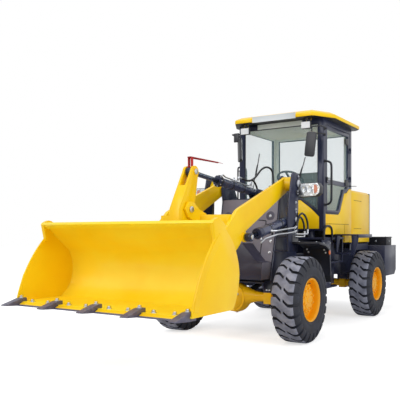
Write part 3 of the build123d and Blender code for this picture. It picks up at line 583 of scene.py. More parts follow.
def buildStudio():
    cameraData = bpy.data.cameras.new("camera")
    cameraData.lens = studio["lens"]
    cameraData.sensor_width = 36
    cameraData.shift_x = studio["shiftX"]
    cameraData.shift_y = studio["shiftY"]
    cameraData.clip_end = 200
    camera = bpy.data.objects.new("camera", cameraData)
    addToScene(camera)
    camera.location = studio["cameraPlace"]
    camera.rotation_euler = Vector(studio["cameraLook"]).to_track_quat("-Z", "Y").to_euler()
    bpy.context.scene.camera = camera
    bpy.context.scene.view_settings.view_transform = "Standard"

    # white to the eye and in reflections, softer as light
    world = bpy.data.worlds.new("studio")
    bpy.context.scene.world = world
    world.use_nodes = True
    tree = world.node_tree
    tree.nodes.clear()
    path = tree.nodes.new("ShaderNodeLightPath")
    seen = path.outputs["Is Camera Ray"]
    for ray in ("Is Transmission Ray", "Is Glossy Ray"):
        seen = addNode(tree, "ShaderNodeMath", {0: seen, 1: path.outputs[ray]}, operation="MAXIMUM").outputs[0]
    level = addNode(tree, "ShaderNodeMapRange", {"Value": seen},
                    To_Min=studio["skyLevel"], To_Max=1.0)
    sky = addNode(tree, "ShaderNodeBackground", {"Strength": level.outputs["Result"]},
                  Color=(1, 1, 1, 1))
    out = tree.nodes.new("ShaderNodeOutputWorld")
    tree.links.new(sky.outputs["Background"], out.inputs["Surface"])

    lamps = [
        # name, energy, size, place, aims at
        ("key", 330, 5.0, (-1.5, -9.0, 6.5), (0, -1.0, 1.0)),
        ("side", 240, 5.0, (8.0, -2.5, 4.0), (0, 0.5, 1.0)),
        ("top", 170, 6.0, (-1.0, 0.5, 9.0), (0, 0.5, 1.0)),
    ]
    for name, energy, size, place, aim in lamps:
        lampData = bpy.data.lights.new(name, "AREA")
        lampData.energy = energy
        lampData.size = size
        lamp = bpy.data.objects.new(name, lampData)
        addToScene(lamp)
        lamp.location = place
        lamp.rotation_euler = (Vector(aim) - Vector(place)).to_track_quat("-Z", "Y").to_euler()

    # the floor is white to the eye, and keeps the shadow as a share of the lit floor
    deselectAll()
    bpy.ops.mesh.primitive_plane_add(size=2 * studio["floorHalf"], location=(0, 0, 0))
    floor = bpy.context.object
    floor.name = "floor"
    material, tree, shader, place = startMaterial("pale_floor", studio["floorColour"], 0.9)
    shader.inputs["Specular IOR Level"].default_value = 0.0
    path = tree.nodes.new("ShaderNodeLightPath")
    glow = addNode(tree, "ShaderNodeMapRange", {"Value": path.outputs["Is Camera Ray"]},
                   To_Min=0.0, To_Max=studio["floorGlow"])
    tree.links.new(glow.outputs["Result"], shader.inputs["Emission Strength"])
    shader.inputs["Emission Color"].default_value = (1, 1, 1, 1)
    floor.data.materials.append(material)


buildStudio()
print("studio ready")

# what each of the frame's own pieces is painted with
nodePaint = {
    "rear_frame": "navyGrey", "side_steps": "navyGrey", "rear_fenders": "navyGrey",
    "rear_axle": "yellow", "front_axle": "yellow", "rear_drive_shaft": "blackPaint",
    "front_drive_shaft": "blackPaint", "cab_shell": "navyGrey", "cab_panels": "yellow",
    "cab_roof": "yellow", "cab_glass": "glass", "console": "cabPlastic",
    "operator_seat": "vinyl", "engine_hood": "yellow", "rear_grille": "blackPaint",
    "engine_block": "iron", "counterweight": "navyGrey", "battery_box": "blackPlastic",
    "roof_lamps": "lampWhite", "mirrors": "blackPlastic", "front_frame": "navyGrey",
    "front_guard": "guardGrey", "front_fenders": "fenderPlastic", "headlights": "blackPlastic",
    "boom": "yellow", "bell_crank": "yellow", "tilt_link": "yellow",
    "bucket_shell": "yellow", "bucket_edges": "edgeSteel", "tilt_barrel": "cylinderNavy",
    "tilt_rod": "chrome", "level_indicator": "red", "door_frame": "navyGrey",
    "door_glass": "glass",
}
for side in ("left", "right"):
    nodePaint["lift_barrel_" + side] = "cylinderNavy"
    nodePaint["lift_rod_" + side] = "chrome"
    nodePaint["steer_barrel_" + side] = "cylinderNavy"
    nodePaint["steer_rod_" + side] = "chrome"
for corner in corners:
    nodePaint["tyre_" + corner] = "rubber"
    nodePaint["rim_" + corner] = "yellow"
for node, obj in nodes.items():
    coverWith(obj, paint[nodePaint[node]])


# tyres: a spun carcass with staggered tractor lugs
tyre = {
    "radius": 0.485, "lugs": 24, "steps": 96,
    "carcass": [  # from the middle, radius
        (0.135, 0.2285), (0.136, 0.249), (0.143, 0.256), (0.149, 0.266), (0.1525, 0.268),
        (0.1545, 0.279), (0.1535, 0.283), (0.158, 0.300), (0.161, 0.330), (0.1585, 0.358),
        (0.1515, 0.388), (0.1535, 0.392), (0.1490, 0.402), (0.142, 0.418), (0.127, 0.440),
        (0.105, 0.4535), (0.06, 0.457), (0.0, 0.458),
    ],
    "lug": [  # from the middle, the groove's place along the tread, its width, radius
        (0.0, 0.040, 0.028, 0.4848), (0.012, 0.034, 0.029, 0.4848), (0.045, 0.004, 0.031, 0.4848),
        (0.073, -0.019, 0.033, 0.4848), (0.108, -0.020, 0.034, 0.4825), (0.130, -0.017, 0.035, 0.471),
        (0.146, -0.015, 0.037, 0.445), (0.155, -0.013, 0.040, 0.415), (0.1605, -0.011, 0.044, 0.380),
    ],
    "rows": 4, "ribHalf": 0.013, "lugFoot": 0.92, "lugEdge": 0.0035,
}


def makeLug():
    # a block between two grooves, bent round the tyre, its foot drawn in under the carcass
    table, rows = tyre["lug"], tyre["rows"]
    pitch = 2 * pi * tyre["radius"] / tyre["lugs"]
    deselectAll()
    bpy.ops.mesh.primitive_grid_add(x_subdivisions=len(table) - 1, y_subdivisions=rows, size=1)
    obj = bpy.context.object
    columns = sorted({round(v.co.x, 4) for v in obj.data.vertices})
    for vertex in obj.data.vertices:
        x, groove, width, top = table[columns.index(round(vertex.co.x, 4))]
        share = vertex.co.y + 0.5
        along = groove + width / 2 + share * (pitch - width)
        angle = along / tyre["radius"]
        vertex.co = (x, top * sin(angle), top * cos(angle))
    enterEdit(obj, True)
    bpy.ops.mesh.extrude_region()
    bpy.ops.transform.resize(value=(tyre["lugFoot"],) * 3, center_override=(0, 0, 0))
    turnOutward()
    return bevelEdges(obj, tyre["lugEdge"])


def makeTyre(corner, pattern):
    centre = middleOf("tyre_" + corner)
    half = tyre["carcass"]
    outline = half + [(-x, r) for x, r in half[-2::-1]]
    carcass = addTurned(outline, centre, (1, 0, 0), tyre["steps"], 30)
    for finish in ("rubber", "treadRubberHighlight"):
        carcass.data.materials.append(paint[finish])
    flip = Matrix.Rotation(pi, 4, "Z")
    copies = []
    place = Matrix.Translation(centre)
    for near, far in zip(turnsOf(tyre["lugs"]), turnsOf(tyre["lugs"], 0.5)):
        copies.append(copyOf(pattern, place @ Matrix.Rotation(near, 4, "X")))
        copies.append(copyOf(pattern, place @ Matrix.Rotation(far, 4, "X") @ flip))
    half, deep, top = tyre["ribHalf"], tyre["radius"] - 0.04, tyre["radius"] - 0.0001
    rib = [(-half, deep), (-half, top - 0.003), (-half + 0.003, top), (half - 0.003, top),
           (half, top - 0.003), (half, deep)]
    copies.append(addLathe(rib, centre, (1, 0, 0), tyre["steps"]))
    lugs = joinAll(copies)
    coverWith(lugs, paint["rubber"])
    lugs.data.materials.append(paint["treadRubberHighlight"])
    # the lugs' outward top faces take the lighter rubber as a painted highlight; the rest stays dark
    for polygon in lugs.data.polygons:
        out = Vector((0, polygon.center.y - centre.y, polygon.center.z - centre.z))
        litTop = polygon.normal.dot(out.normalized()) > 0.6 and out.length > 0.44
        polygon.material_index = 1 if litTop else 0
    smooth(lugs, 35)
    whole = joinAll([carcass, lugs])
    whole.name = whole.data.name = "tyre_tread_" + corner
    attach(whole, bodyOf("tyre_" + corner))
    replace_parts(whole, "tyre_" + corner)


lugPattern = makeLug()
for corner in corners:
    makeTyre(corner, lugPattern)
bpy.data.objects.remove(lugPattern)
print("tyres ready")


# the frame's own plate work with its edges eased, so that they catch the light
easedPlates = [
    # node, edge, finish
    ("bucket_shell", 0.004, "yellow"), ("boom", 0.005, "yellow"), ("bell_crank", 0.006, "yellow"),
    ("tilt_link", 0.005, "yellow"), ("front_frame", 0.0035, "navyGrey"),
    ("front_guard", 0.0025, "guardGrey"), ("front_fenders", 0.004, "fenderPlastic"),
    ("rear_frame", 0.003, "navyGrey"), ("side_steps", 0.003, "navyGrey"),
    ("rear_fenders", 0.004, "navyGrey"), ("counterweight", 0.008, "navyGrey"),
    ("cab_shell", 0.005, "navyGrey"), ("cab_panels", 0.008, "yellow"), ("cab_roof", 0.012, "yellow"),
    ("engine_hood", 0.014, "yellow"), ("battery_box", 0.006, "blackPlastic"),
    ("door_frame", 0.006, "navyGrey"), ("bucket_edges", 0.003, "edgeSteel"),
    ("front_axle", 0.006, "axleYellow"), ("rear_axle", 0.006, "axleYellow"), ("console", 0.008, "cabPlastic"),
    ("mirrors", 0.006, "blackPlastic"),
]
for node, edge, finish in easedPlates:
    easedCopy(node, edge, finish)
print("plates eased:", len(easedPlates))


def addDetail(pieces, name, node, finish):
    # small pieces on one of the frame's nodes, joined under one name
    return finishPiece(joinAll(pieces), name, node, finish)


def bothSides(pieces):
    return pieces + [mirrorOf(piece) for piece in pieces]


def addPair(pieces, name, node, finish):
    return addDetail(bothSides(pieces), name, node, finish)


def addBolts(places, size, name, node):
    addDetail([boltsAt(places, size)], name, node, "plated")


def addBoltPairs(places, size, name, node):
    addPair([boltsAt(places, size)], name, node, "plated")


def secondFinish(obj, finish, test):
    # another finish on the faces whose centre and normal pass the test
    passes = looking.get(test, test)
    obj.data.materials.append(paint[finish])
    index = len(obj.data.materials) - 1
    for polygon in obj.data.polygons:
        if passes(polygon.center, polygon.normal):
            polygon.material_index = index


# rims: rolled flanges, dished disc, wheel bolts and the hub's end cover
rim = {
    "bolts": (10, 0.126, 0.023, 0.0965), "capBolts": (6, 0.090, 0.014, 0.1055),  # count, circle, size, height
    "valve": ((0.076, 0.172), (0.100, 0.176), (0.118, 0.186)),
    "barrel": [  # along the axle from the wheel's middle, radius
        (0.1352, 0.2280), (0.1352, 0.2445), (0.1390, 0.2452), (0.1425, 0.2430), (0.1438, 0.2385),
        (0.1415, 0.2335), (0.1370, 0.2305), (0.1320, 0.2262), (0.1200, 0.2218), (0.1000, 0.2192),
    ],
    "disc": [
        (0.040, 0.0), (0.040, 0.2200), (0.052, 0.2200), (0.052, 0.2060), (0.058, 0.1970),
        (0.074, 0.1810), (0.0785, 0.1710), (0.0785, 0.1520), (0.083, 0.1460), (0.0945, 0.1430),
        (0.0965, 0.1390), (0.0965, 0.1080), (0.1040, 0.1040), (0.1055, 0.0990), (0.1055, 0.0400),
        (0.1110, 0.0360), (0.1120, 0.0),
    ],
}
for corner in corners:
    node = "rim_" + corner
    out = 1 if corner.endswith("left") else -1
    centre = middleOf("tyre_" + corner)
    axis = (out, 0, 0)
    ring = rim["barrel"] + [(-along, r) for along, r in rim["barrel"][::-1]]
    pieces = [addTurned(ring, centre, axis, 72, 35), addTurned(rim["disc"], centre, axis, 72, 30)]
    for count, circle, size, height in (rim["bolts"], rim["capBolts"]):
        places = [(centre + Vector((out * height, circle * cos(turn), circle * sin(turn))), axis)
                  for turn in turnsOf(count, 0.5)]
        pieces.append(boltsAt(places, size))
    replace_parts(addDetail(pieces, "rim_dished_" + corner, node, "rimYellow"), node)
    stem = addTube([centre + Vector((out * x, 0.02, z)) for x, z in rim["valve"]], 0.005)
    addDetail([stem], "tyre_valve_" + corner, node, "blackPlastic")
print("rims ready")


# bucket: doubler strips along the side plates, lip and tooth bolts
bucketWork = {
    "half": 1.010, "boltSize": 0.034, "lipY": -2.345, "lipZ": 0.593, "toothY": -2.360, "toothTop": 0.6245,
    "toothPitch": 0.477, "teeth": 5, "lipOffset": 0.105,
}
edgeArc = [(-2.362, 0.618), (-2.340, 0.720), (-2.300, 0.830), (-2.235, 0.945), (-2.150, 1.058),
           (-2.055, 1.165), (-1.990, 1.230)]
innerArc = [(-2.300, 0.618), (-2.278, 0.712), (-2.240, 0.810), (-2.180, 0.915), (-2.098, 1.024),
            (-2.008, 1.128), (-1.945, 1.192)]
x = bucketWork["half"]
strip = addPlate([spot(x - 0.002, y, z) for y, z in edgeArc + innerArc[::-1]], (0.006, 0, 0))
bevelEdges(strip, 0.002)
addPair([strip], "bucket_side_doublers", "bucket_shell", "yellow")
lipBolts = []
for gap in range(bucketWork["teeth"] - 1):
    middle = (gap - (bucketWork["teeth"] - 2) / 2) * bucketWork["toothPitch"]
    for offset in (-bucketWork["lipOffset"], bucketWork["lipOffset"]):
        lipBolts.append((spot(middle + offset, bucketWork["lipY"], bucketWork["lipZ"]), (0, 0, 1)))
addBolts(lipBolts, bucketWork["boltSize"], "bucket_lip_bolts", "bucket_shell")
toothBolts = []
for index in range(bucketWork["teeth"]):
    middle = (index - (bucketWork["teeth"] - 1) / 2) * bucketWork["toothPitch"]
    toothBolts.append((spot(middle, bucketWork["toothY"], bucketWork["toothTop"]), (0, 0, 1)))
addBolts(toothBolts, bucketWork["boltSize"], "bucket_tooth_bolts", "bucket_edges")


# pin ends of the loader linkage, with their keeper bolts, on both sides
linkage = [
    # node, (y, z), outer face, radius, height
    ("front_frame", (0.400, 1.830), 0.624, 0.046, 0.010),
    ("front_frame", (0.340, 1.395), 0.620, 0.030, 0.008),
    ("bucket_shell", (-1.610, 0.710), 0.505, 0.030, 0.008),
    ("bucket_shell", (-1.560, 1.020), 0.063, 0.028, 0.006),
    ("boom", (-1.090, 1.476), 0.096, 0.033, 0.010),
    ("bell_crank", (-0.970, 1.880), 0.069, 0.030, 0.008),
    ("bell_crank", (-1.200, 1.000), 0.067, 0.024, 0.006),
    ("lift_rod_left", (-0.658, 1.187), 0.574, 0.026, 0.010),
]
for index, (node, (y, z), face, radius, height) in enumerate(linkage):
    cap = stud(spot(face - 0.001, y, z), (1, 0, 0), radius, height)
    if node == "lift_rod_left":
        addDetail([mirrorOf(cap)], "pin_end_lift_right", "lift_rod_right", "plated")
        addDetail([cap], "pin_end_lift_left", node, "plated")
    else:
        addPair([cap], "pin_ends_%d_%s" % (index, node), node, "plated")
keeper = {"pins": ((0.400, 1.830), (0.340, 1.395)), "x": 0.613, "half": 0.014, "low": 0.050, "high": 0.105}
keepers = []
for y, z in keeper["pins"]:
    half, low, high = keeper["half"], z + keeper["low"], z + keeper["high"]
    bar = addPlate([
        spot(keeper["x"], y + along, rise) for along, rise in ((-half, low), (half, low), (half, high), (-half, high))
    ], (0.008, 0, 0))
    useModifier(bar, "BEVEL", width=0.002, segments=2)
    keepers.append(bar)
addPair(keepers, "pin_keepers", "front_frame", "navyGrey")
places = [(spot(0.621, y, z + 0.088), (1, 0, 0)) for y, z in keeper["pins"]]
addBoltPairs(places, 0.018, "pin_keeper_bolts", "front_frame")
print("bucket and linkage ready")


# cylinders: gland rings, ports and steel lines, laid out along each barrel
def alongBarrel(x, base, eye):
    # gives places by their distance from the base pin, to the side and above
    start, end = spot(x, *base), spot(x, *eye)
    run = (end - start).normalized()
    up = Vector((1, 0, 0)).cross(run)
    if up.z < 0:
        up = -up
    return lambda distance, out, rise: start + run * distance + Vector((1, 0, 0)) * out + up * rise


def directionOf(place):
    return place(1, 0, 0) - place(0, 0, 0)


def glandRing(place, radius, rodRadius, length):
    # screwed gland with a chamfered rim and a wiper at the rod
    centre = place(length - 0.075, 0, 0)
    axis = directionOf(place)
    outline = [
        (0.0, radius - 0.004), (0.004, radius + 0.0015), (0.030, radius + 0.0015), (0.033, radius - 0.001),
        (0.040, radius - 0.001), (0.043, radius + 0.0015), (0.074, radius + 0.0015), (0.078, radius - 0.003),
        (0.078, rodRadius + 0.010), (0.085, rodRadius + 0.008), (0.085, rodRadius + 0.0015),
        (0.070, rodRadius + 0.0015), (0.0, rodRadius + 0.0015),
    ]
    return addTurned(outline, centre, axis, 40, 30)


def barrelBand(place, distance, radius):
    outline = [(-0.011, radius), (-0.009, radius + 0.003), (0.009, radius + 0.003), (0.011, radius)]
    return addLathe(outline, place(distance, 0, 0), directionOf(place), 32)


def portAt(place, distance, out, rise, radius, length):
    # a welded boss with a hexagon union
    foot = place(distance, out, rise)
    away = (place(distance, out, rise) - place(distance, 0, 0)).normalized()
    boss = addRound(foot - away * 0.008, foot + away * length * 0.45, radius, 16)
    nut = addRound(foot + away * length * 0.40, foot + away * length, radius * 0.86, 6)
    insetFaces(nut, lambda c, n: n.dot(away) > 0.9, radius * 0.18, 0.002)
    return joinAll([boss, nut])


lift = {"base": (0.340, 1.395), "eye": (-0.658, 1.187), "x": 0.536, "radius": 0.060, "rod": 0.025, "length": 0.845,
        "line": 0.0098}
tilt = {"base": (0.470, 1.740), "eye": (-0.970, 1.880), "radius": 0.056, "rod": 0.027, "length": 0.915, "line": 0.0085}


def chromedRod(node, eye, reach):
    # the rod's eye is painted, only the bar is chromed
    rod = easedCopy(node, 0.003, "chrome")
    secondFinish(rod, "navyGrey", lambda c, n: Vector((c.y - frontY - eye[0], c.z - eye[1])).length < reach)


for name in ("left", "right"):
    chromedRod("lift_rod_" + name, lift["eye"], 0.056)
chromedRod("tilt_rod", tilt["eye"], 0.058)

for name, side in flanks:
    node = "lift_barrel_" + name
    place = alongBarrel(side * lift["x"], lift["base"], lift["eye"])
    ring = glandRing(place, lift["radius"], lift["rod"], lift["length"])
    addDetail([ring], "lift_gland_" + name, node, "navyGrey")
    out = side * 0.030
    ports = [
        portAt(place, 0.800, out * 0.6, -0.050, 0.013, 0.026), portAt(place, 0.105, out * 0.6, -0.047, 0.013, 0.022)]
    lines = [
        addBentBar(spots(
            (side * 0.570, -0.455, 1.128), (side * 0.574, -0.369, 1.170), (side * 0.634, -0.190, 1.216),
            (side * 0.634, 0.111, 1.233), (side * 0.634, 0.290, 1.250)), lift["line"], 0.05, 12),
        addBentBar(spots(
            (side * 0.584, -0.240, 1.256), (side * 0.634, -0.195, 1.258), (side * 0.634, 0.111, 1.285),
            (side * 0.634, 0.290, 1.297)), lift["line"], 0.04, 12)]
    ports.append(stud(spot(side * 0.570, -0.240, 1.256), (side, 0, 0), 0.017, 0.026, 16))
    clamps = []
    for distance in (0.30, 0.58):
        clamps.append(barrelBand(place, distance, 0.0545))
        tab = addBlock(place(distance, 0, -0.094) + Vector((side * 0.040, -0.011, 0.0)),
                       place(distance, 0, -0.030) + Vector((side * (0.106 if distance < 0.5 else 0.060), 0.011, 0.0)))
        clamps.append(insetFaces(tab, "leftAndRight", 0.003, 0.0015))
    addDetail(lines + ports, "lift_lines_" + name, node, "plated")
    addDetail(clamps, "lift_line_clamps_" + name, node, "blackPaint")

place = alongBarrel(0.0, tilt["base"], tilt["eye"])
addDetail([glandRing(place, tilt["radius"], tilt["rod"], tilt["length"])], "tilt_gland", "tilt_barrel", "navyGrey")
flange = addTurned([
    (0.0, 0.050), (0.0, 0.066), (0.003, 0.069), (0.021, 0.069), (0.024, 0.066), (0.024, 0.050)
], place(0.880, 0, 0), directionOf(place), 40)
addDetail([flange], "tilt_flange", "tilt_barrel", "blackPaint")
run = directionOf(place).normalized()
places = [(place(0.904, 0.060 * cos(turn), 0.060 * sin(turn)), run) for turn in turnsOf(8)]
addDetail([boltsAt(places, 0.014, False)], "tilt_flange_bolts", "tilt_barrel", "plated")
ports = [portAt(place, 0.115, 0.0, 0.050, 0.015, 0.036), portAt(place, 0.835, 0.0, 0.050, 0.015, 0.026)]
block = addBlock(place(0.600, -0.026, 0.046), place(0.480, 0.030, 0.082))
insetFaces(block, lambda c, n: n.z > 0.5 or abs(n.x) > 0.9, 0.006, -0.003)
block = eased(block, 0.003, 1)
unions = [portAt(place, d, x, 0.074, 0.012, 0.024) for d, x in ((0.505, -0.008), (0.575, 0.012))]
lines = [
    addBentBar([
        place(0.835, 0.0, 0.066), place(0.820, 0.006, 0.088), place(0.76, 0.010, 0.068), place(0.60, 0.012, 0.066)
    ], tilt["line"], 0.03, 10),
    addBentBar([
        place(0.480, -0.010, 0.066), place(0.30, -0.012, 0.066), place(0.17, -0.008, 0.070), place(0.125, 0.0, 0.088)
    ], tilt["line"], 0.03, 10),
    block] + unions
clamps = [barrelBand(place, distance, 0.0505) for distance in (0.36, 0.62)]
addDetail(lines + ports, "tilt_lines", "tilt_barrel", "plated")
addDetail(clamps, "tilt_line_clamps", "tilt_barrel", "blackPaint")


# hoses: tubes routed round the cylinders' base pins, with a fitting at each end
hose = {"radius": 0.0125, "fitting": 0.015}


def addHose(route, name):
    # a hose routed from the barrel at one end to the tower at the other
    tube = dressPiece(addTube(route, hose["radius"], 12), name, paint["hoseRubber"])
    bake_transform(tube)


def addFitting(point, toward, name, node):
    way = (Vector(toward) - Vector(point)).normalized()
    sleeve = addRound(point - way * 0.006, point + way * 0.040, hose["fitting"], 16)
    insetFaces(sleeve, lambda c, n: abs(n.dot(way)) > 0.9, 0.003, 0.002)
    nut = addRound(point - way * 0.020, point - way * 0.002, hose["fitting"] * 1.1, 6)
    insetFaces(nut, lambda c, n: abs(n.dot(way)) > 0.9, 0.003, 0.002)
    addDetail([sleeve, nut], name, node, "plated")


route = spots(
    (0.030, 0.010, 1.898), (0.030, 0.120, 1.888), (0.030, 0.240, 1.872), (0.030, 0.400, 1.925), (0.030, 0.560, 2.055),
    (0.030, 0.720, 2.105), (0.030, 0.870, 2.080), (0.040, 0.890, 1.960), (0.060, 0.860, 1.800), (0.080, 0.800, 1.690),
    (0.090, 0.680, 1.640))
addHose(route, "tilt_hose_rod_end")
addFitting(route[0], route[1], "tilt_fitting_rod_end", "tilt_barrel")
addFitting(route[-1], route[-2], "tilt_fitting_frame_rod_end", "front_frame")
route = spots(
    (-0.010, 0.355, 1.850), (-0.016, 0.385, 1.895), (-0.030, 0.460, 1.905), (-0.045, 0.560, 1.860),
    (-0.060, 0.640, 1.770), (-0.075, 0.665, 1.690), (-0.080, 0.640, 1.640))
addHose(route, "tilt_hose_base_end")
addFitting(route[0], route[1], "tilt_fitting_base_end", "tilt_barrel")
addFitting(route[-1], route[-2], "tilt_fitting_frame_base_end", "front_frame")
liftHoses = {
    "outer": ((0.634, 0.275, 1.249), (0.634, 0.310, 1.262), (0.634, 0.340, 1.330), (0.630, 0.400, 1.440),
              (0.626, 0.510, 1.485), (0.624, 0.640, 1.430), (0.624, 0.700, 1.320), (0.624, 0.672, 1.240)),
    "inner": ((0.634, 0.275, 1.296), (0.634, 0.310, 1.310), (0.632, 0.345, 1.370), (0.626, 0.430, 1.440),
              (0.620, 0.540, 1.400), (0.618, 0.600, 1.300), (0.618, 0.590, 1.215)),
}
for name, side in flanks:
    barrel = "lift_barrel_" + name
    outer, inner = ([spot(side * x, y, z) for x, y, z in liftHoses[tag]] for tag in ("outer", "inner"))
    for route, tag in ((outer, "outer"), (inner, "inner")):
        addHose(route, "lift_hose_%s_%s" % (tag, name))
        addFitting(route[0], route[1], "lift_fitting_%s_%s" % (tag, name), barrel)
    tails = []
    for route, z in ((outer, 1.221), (inner, 1.189)):
        x, end = route[-1].x, route[-1]
        tails.append(addBentBar([
            end, Vector((x, end.y, z)), spot(side * 0.632, 0.470, z), spot(side * 0.632, 0.335, z),
            spot(side * 0.606, 0.325, z)], lift["line"], 0.03, 12))
        sleeve = addRound(end + Vector((0, 0, -0.010)), end + Vector((0, 0, 0.040)), hose["fitting"], 16)
        tails.append(insetFaces(sleeve, "upAndDown", 0.003, 0.002))
    addDetail(tails, "lift_tails_" + name, "front_frame", "plated")
print("cylinders and hoses ready")


# front guard: bolted edges
def guardFace(z):
    line = [(0.095, 0.760), (0.225, 1.238), (0.282, 1.404), (0.330, 1.655)]
    for (y0, z0), (y1, z1) in zip(line, line[1:]):
        if z <= z1:
            slope = (y1 - y0) / (z1 - z0)
            return y0 + (z - z0) * slope, Vector((0, -1, slope)).normalized()
    return line[-1][0], Vector((0, -1, 0.2)).normalized()


places = []
for z in (1.34, 1.136, 1.00):
    y, out = guardFace(z)
    places.append((spot(0.355, y, z), out))
for z in (0.80, 0.715):
    places.append((spot(0.372, -0.0915, z), Vector((0, -1, 0.1))))
addBoltPairs(places, 0.024, "guard_bolts", "front_guard")
print("guard ready")

# parts of the eased plates that have another finish
pieces = bpy.data.objects
secondFinish(pieces["bucket_edges_eased"], "yellow",
             lambda c, n: n.z > 0.3 and c.z > 0.5735 and c.y - frontY < -2.38
             and abs(c.x - round(c.x / bucketWork["toothPitch"]) * bucketWork["toothPitch"]) > 0.05)
# the bucket's inside faces, looking forward or up, take the lighter yellow as painted light
secondFinish(pieces["bucket_shell_eased"], "bucketInsideLightened",
             lambda c, n: (n.y < -0.05 or n.z > 0.6) and abs(c.x) < 0.96)
# the guard's lower part and forward nose take the darker grey as painted shade
secondFinish(pieces["front_guard_eased"], "guardNoseShade",
             lambda c, n: c.z < 0.77 or (c.z < 1.118 and c.y - frontY < 0.095 + (c.z - 0.760) * 0.272 - 0.004))
# the cab's inner faces take the liner; its pale colour is partly real and partly painted light against the cab's shade
secondFinish(pieces["cab_shell_eased"], "linerLightened",
             lambda c, n: abs(c.x) < 0.603 and 1.197 < c.y - frontY < 2.223 and c.z > 1.30)
secondFinish(pieces["cab_roof_eased"], "blackPaint", "down")

# guard: seam, pressed hook and round dish
seam = [spot(0.229, guardFace(z)[0] - 0.0015, z) for z in (0.80, 1.00, 1.21)]
seam += [c + Vector((0.010, 0, 0)) for c in seam[::-1]]
hook = addBentBar([
    spot(0.147, guardFace(1.393)[0], 1.393), spot(0.250, guardFace(1.385)[0], 1.385),
    spot(0.258, guardFace(1.33)[0], 1.33)], 0.006, 0.03)
addPair([addPlate(seam, (0, -0.003, 0)), hook], "guard_seams", "front_guard", "blackPaint")
y, out = guardFace(1.443)
dish = addTurned([
    (-0.002, 0.0), (0.0015, 0.0), (0.0022, 0.050), (0.0010, 0.058), (-0.002, 0.058)], spot(0.303, y, 1.443), out, 48)
addPair([dish], "guard_dishes", "front_guard", "dishGrey")
addPair([boltsAt([(spot(0.303, y - 0.001, 1.443), out)], 0.024)], "guard_dish_bolts", "front_guard", "plated")

# tower: keeper bolts along the outer plates
places = [(spot(0.614, 0.345, z), (1, 0, 0)) for z in (1.520, 1.600)]
addBoltPairs(places, 0.022, "tower_bolts", "front_frame")
print("tower and guard trimmed")


# headlights: black housing, clear lens over a bright reflector, amber corner
headlight = {
    "outline": [(0.618, 1.684), (0.646, 1.827), (0.690, 1.834), (0.868, 1.834), (0.900, 1.790), (0.893, 1.708),
                (0.845, 1.674), (0.640, 1.667)],
    "amber": [(0.822, 1.812), (0.852, 1.806), (0.868, 1.782), (0.862, 1.722), (0.836, 1.704), (0.822, 1.716)],
    "middle": (0.768, 1.757), "face": 0.402, "depth": 0.116, "bowls": ((0.700, 1.755, 0.036), (0.770, 1.757, 0.036)),
}


def lampOutline(grow, y):
    # the housing's outline, grown or shrunk about its middle
    middle, height = headlight["middle"]
    return [spot(middle + (x - middle) * grow, y, height + (z - height) * grow) for x, z in headlight["outline"]]


face = headlight["face"]
housing = addPlate(lampOutline(1.0, face), (0, headlight["depth"], 0))
insetFaces(housing, "front", 0.004, -0.010)
insetFaces(housing, "back", 0.022, 0.012)
eased(housing, 0.005)
arm = addSlab((0.6145, 0.352, 1.692), (0.668, 0.425, 1.748))
insetFaces(arm, lambda c, n: n.z > 0.9 or n.y < -0.9, 0.008, -0.003)
eased(arm, 0.004)
housings = addPair([housing, arm], "headlight_housings", "headlights", "blackPlastic")
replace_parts(housings, "headlights")
bowls = [addPlate(lampOutline(0.97, face + 0.009), (0, 0.004, 0))]
for x, z, radius in headlight["bowls"]:
    bowls.append(addTurned([
        (0.000, 0.006), (0.001, 0.014), (0.004, 0.024), (0.009, radius), (0.006, radius + 0.002), (-0.002, radius),
        (-0.002, 0.006)], spot(x, face + 0.011, z), (0, -1, 0), 32))
    bowls.append(stud(spot(x, face + 0.012, z), (0, -1, 0), 0.010, 0.008, 16))
addPair(bowls, "headlight_reflectors", "headlights", "reflector")
corner = addPlate([spot(x, face + 0.010, z) for x, z in headlight["amber"]], (0, -0.005, 0))
insetFaces(corner, "front", 0.012, 0.002)
addPair([eased(corner, 0.002)], "headlight_indicators", "headlights", "amber")
lens = addPlate(lampOutline(0.975, face + 0.0045), (0, -0.003, 0))
insetFaces(lens, "front", 0.018, 0.003)
addPair([eased(lens, 0.002)], "headlight_lenses", "headlights", "lampGlass")
addPair([boltsAt([
    (spot(0.640, 0.352, 1.735), (0, -1, 0)), (spot(0.640, 0.352, 1.705), (0, -1, 0))
], 0.014)], "headlight_bolts", "headlights", "plated")
print("headlights ready")


# roof: pale plate in the front recess, two work lamps on brackets with their leads
roof = {"lampX": (0.396, 0.524), "lampZ": (2.607, 2.698)}
plate = pressedSlab((-0.327, 0.9655, 2.752), (0.327, 0.9745, 2.832), "front", 0.006, -0.002, 0.002)
addDetail([plate], "roof_front_plate", "cab_roof", "paleStrip")
low, high = roof["lampZ"]
near, far = roof["lampX"]
shell = addSlab((near, 0.994, low), (far, 1.040, high))
insetFaces(shell, "front", 0.004, -0.004)
insetFaces(shell, "back", 0.014, 0.006)
legs = addBentBar(spots(
    (near + 0.004, 1.016, 2.665), (near + 0.004, 1.016, 2.722), (far - 0.004, 1.016, 2.722),
    (far - 0.004, 1.016, 2.665)), 0.005, 0.02)
neck = addRound(spot(0.460, 1.016, 2.716), spot(0.460, 1.016, 2.7545), 0.011, 16)
insetFaces(neck, "down", 0.003, 0.002)
lamps = addPair([eased(shell, 0.005), legs, neck], "roof_lamp_housings", "roof_lamps", "blackPlastic")
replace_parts(lamps, "roof_lamps")
lens = addSlab((near + 0.004, 0.986, low + 0.004), (far - 0.004, 0.999, high - 0.004))
for work, settings in ((bpy.ops.mesh.subdivide, {"number_cuts": 3}),
                       (bpy.ops.mesh.inset, {"thickness": 0.002, "depth": -0.002, "use_individual": True})):
    chooseFaces(lens, "front")
    work(**settings)
    leaveEdit()
addPair([eased(lens, 0.0008, 1)], "roof_lamp_lenses", "roof_lamps", "lampWhite")
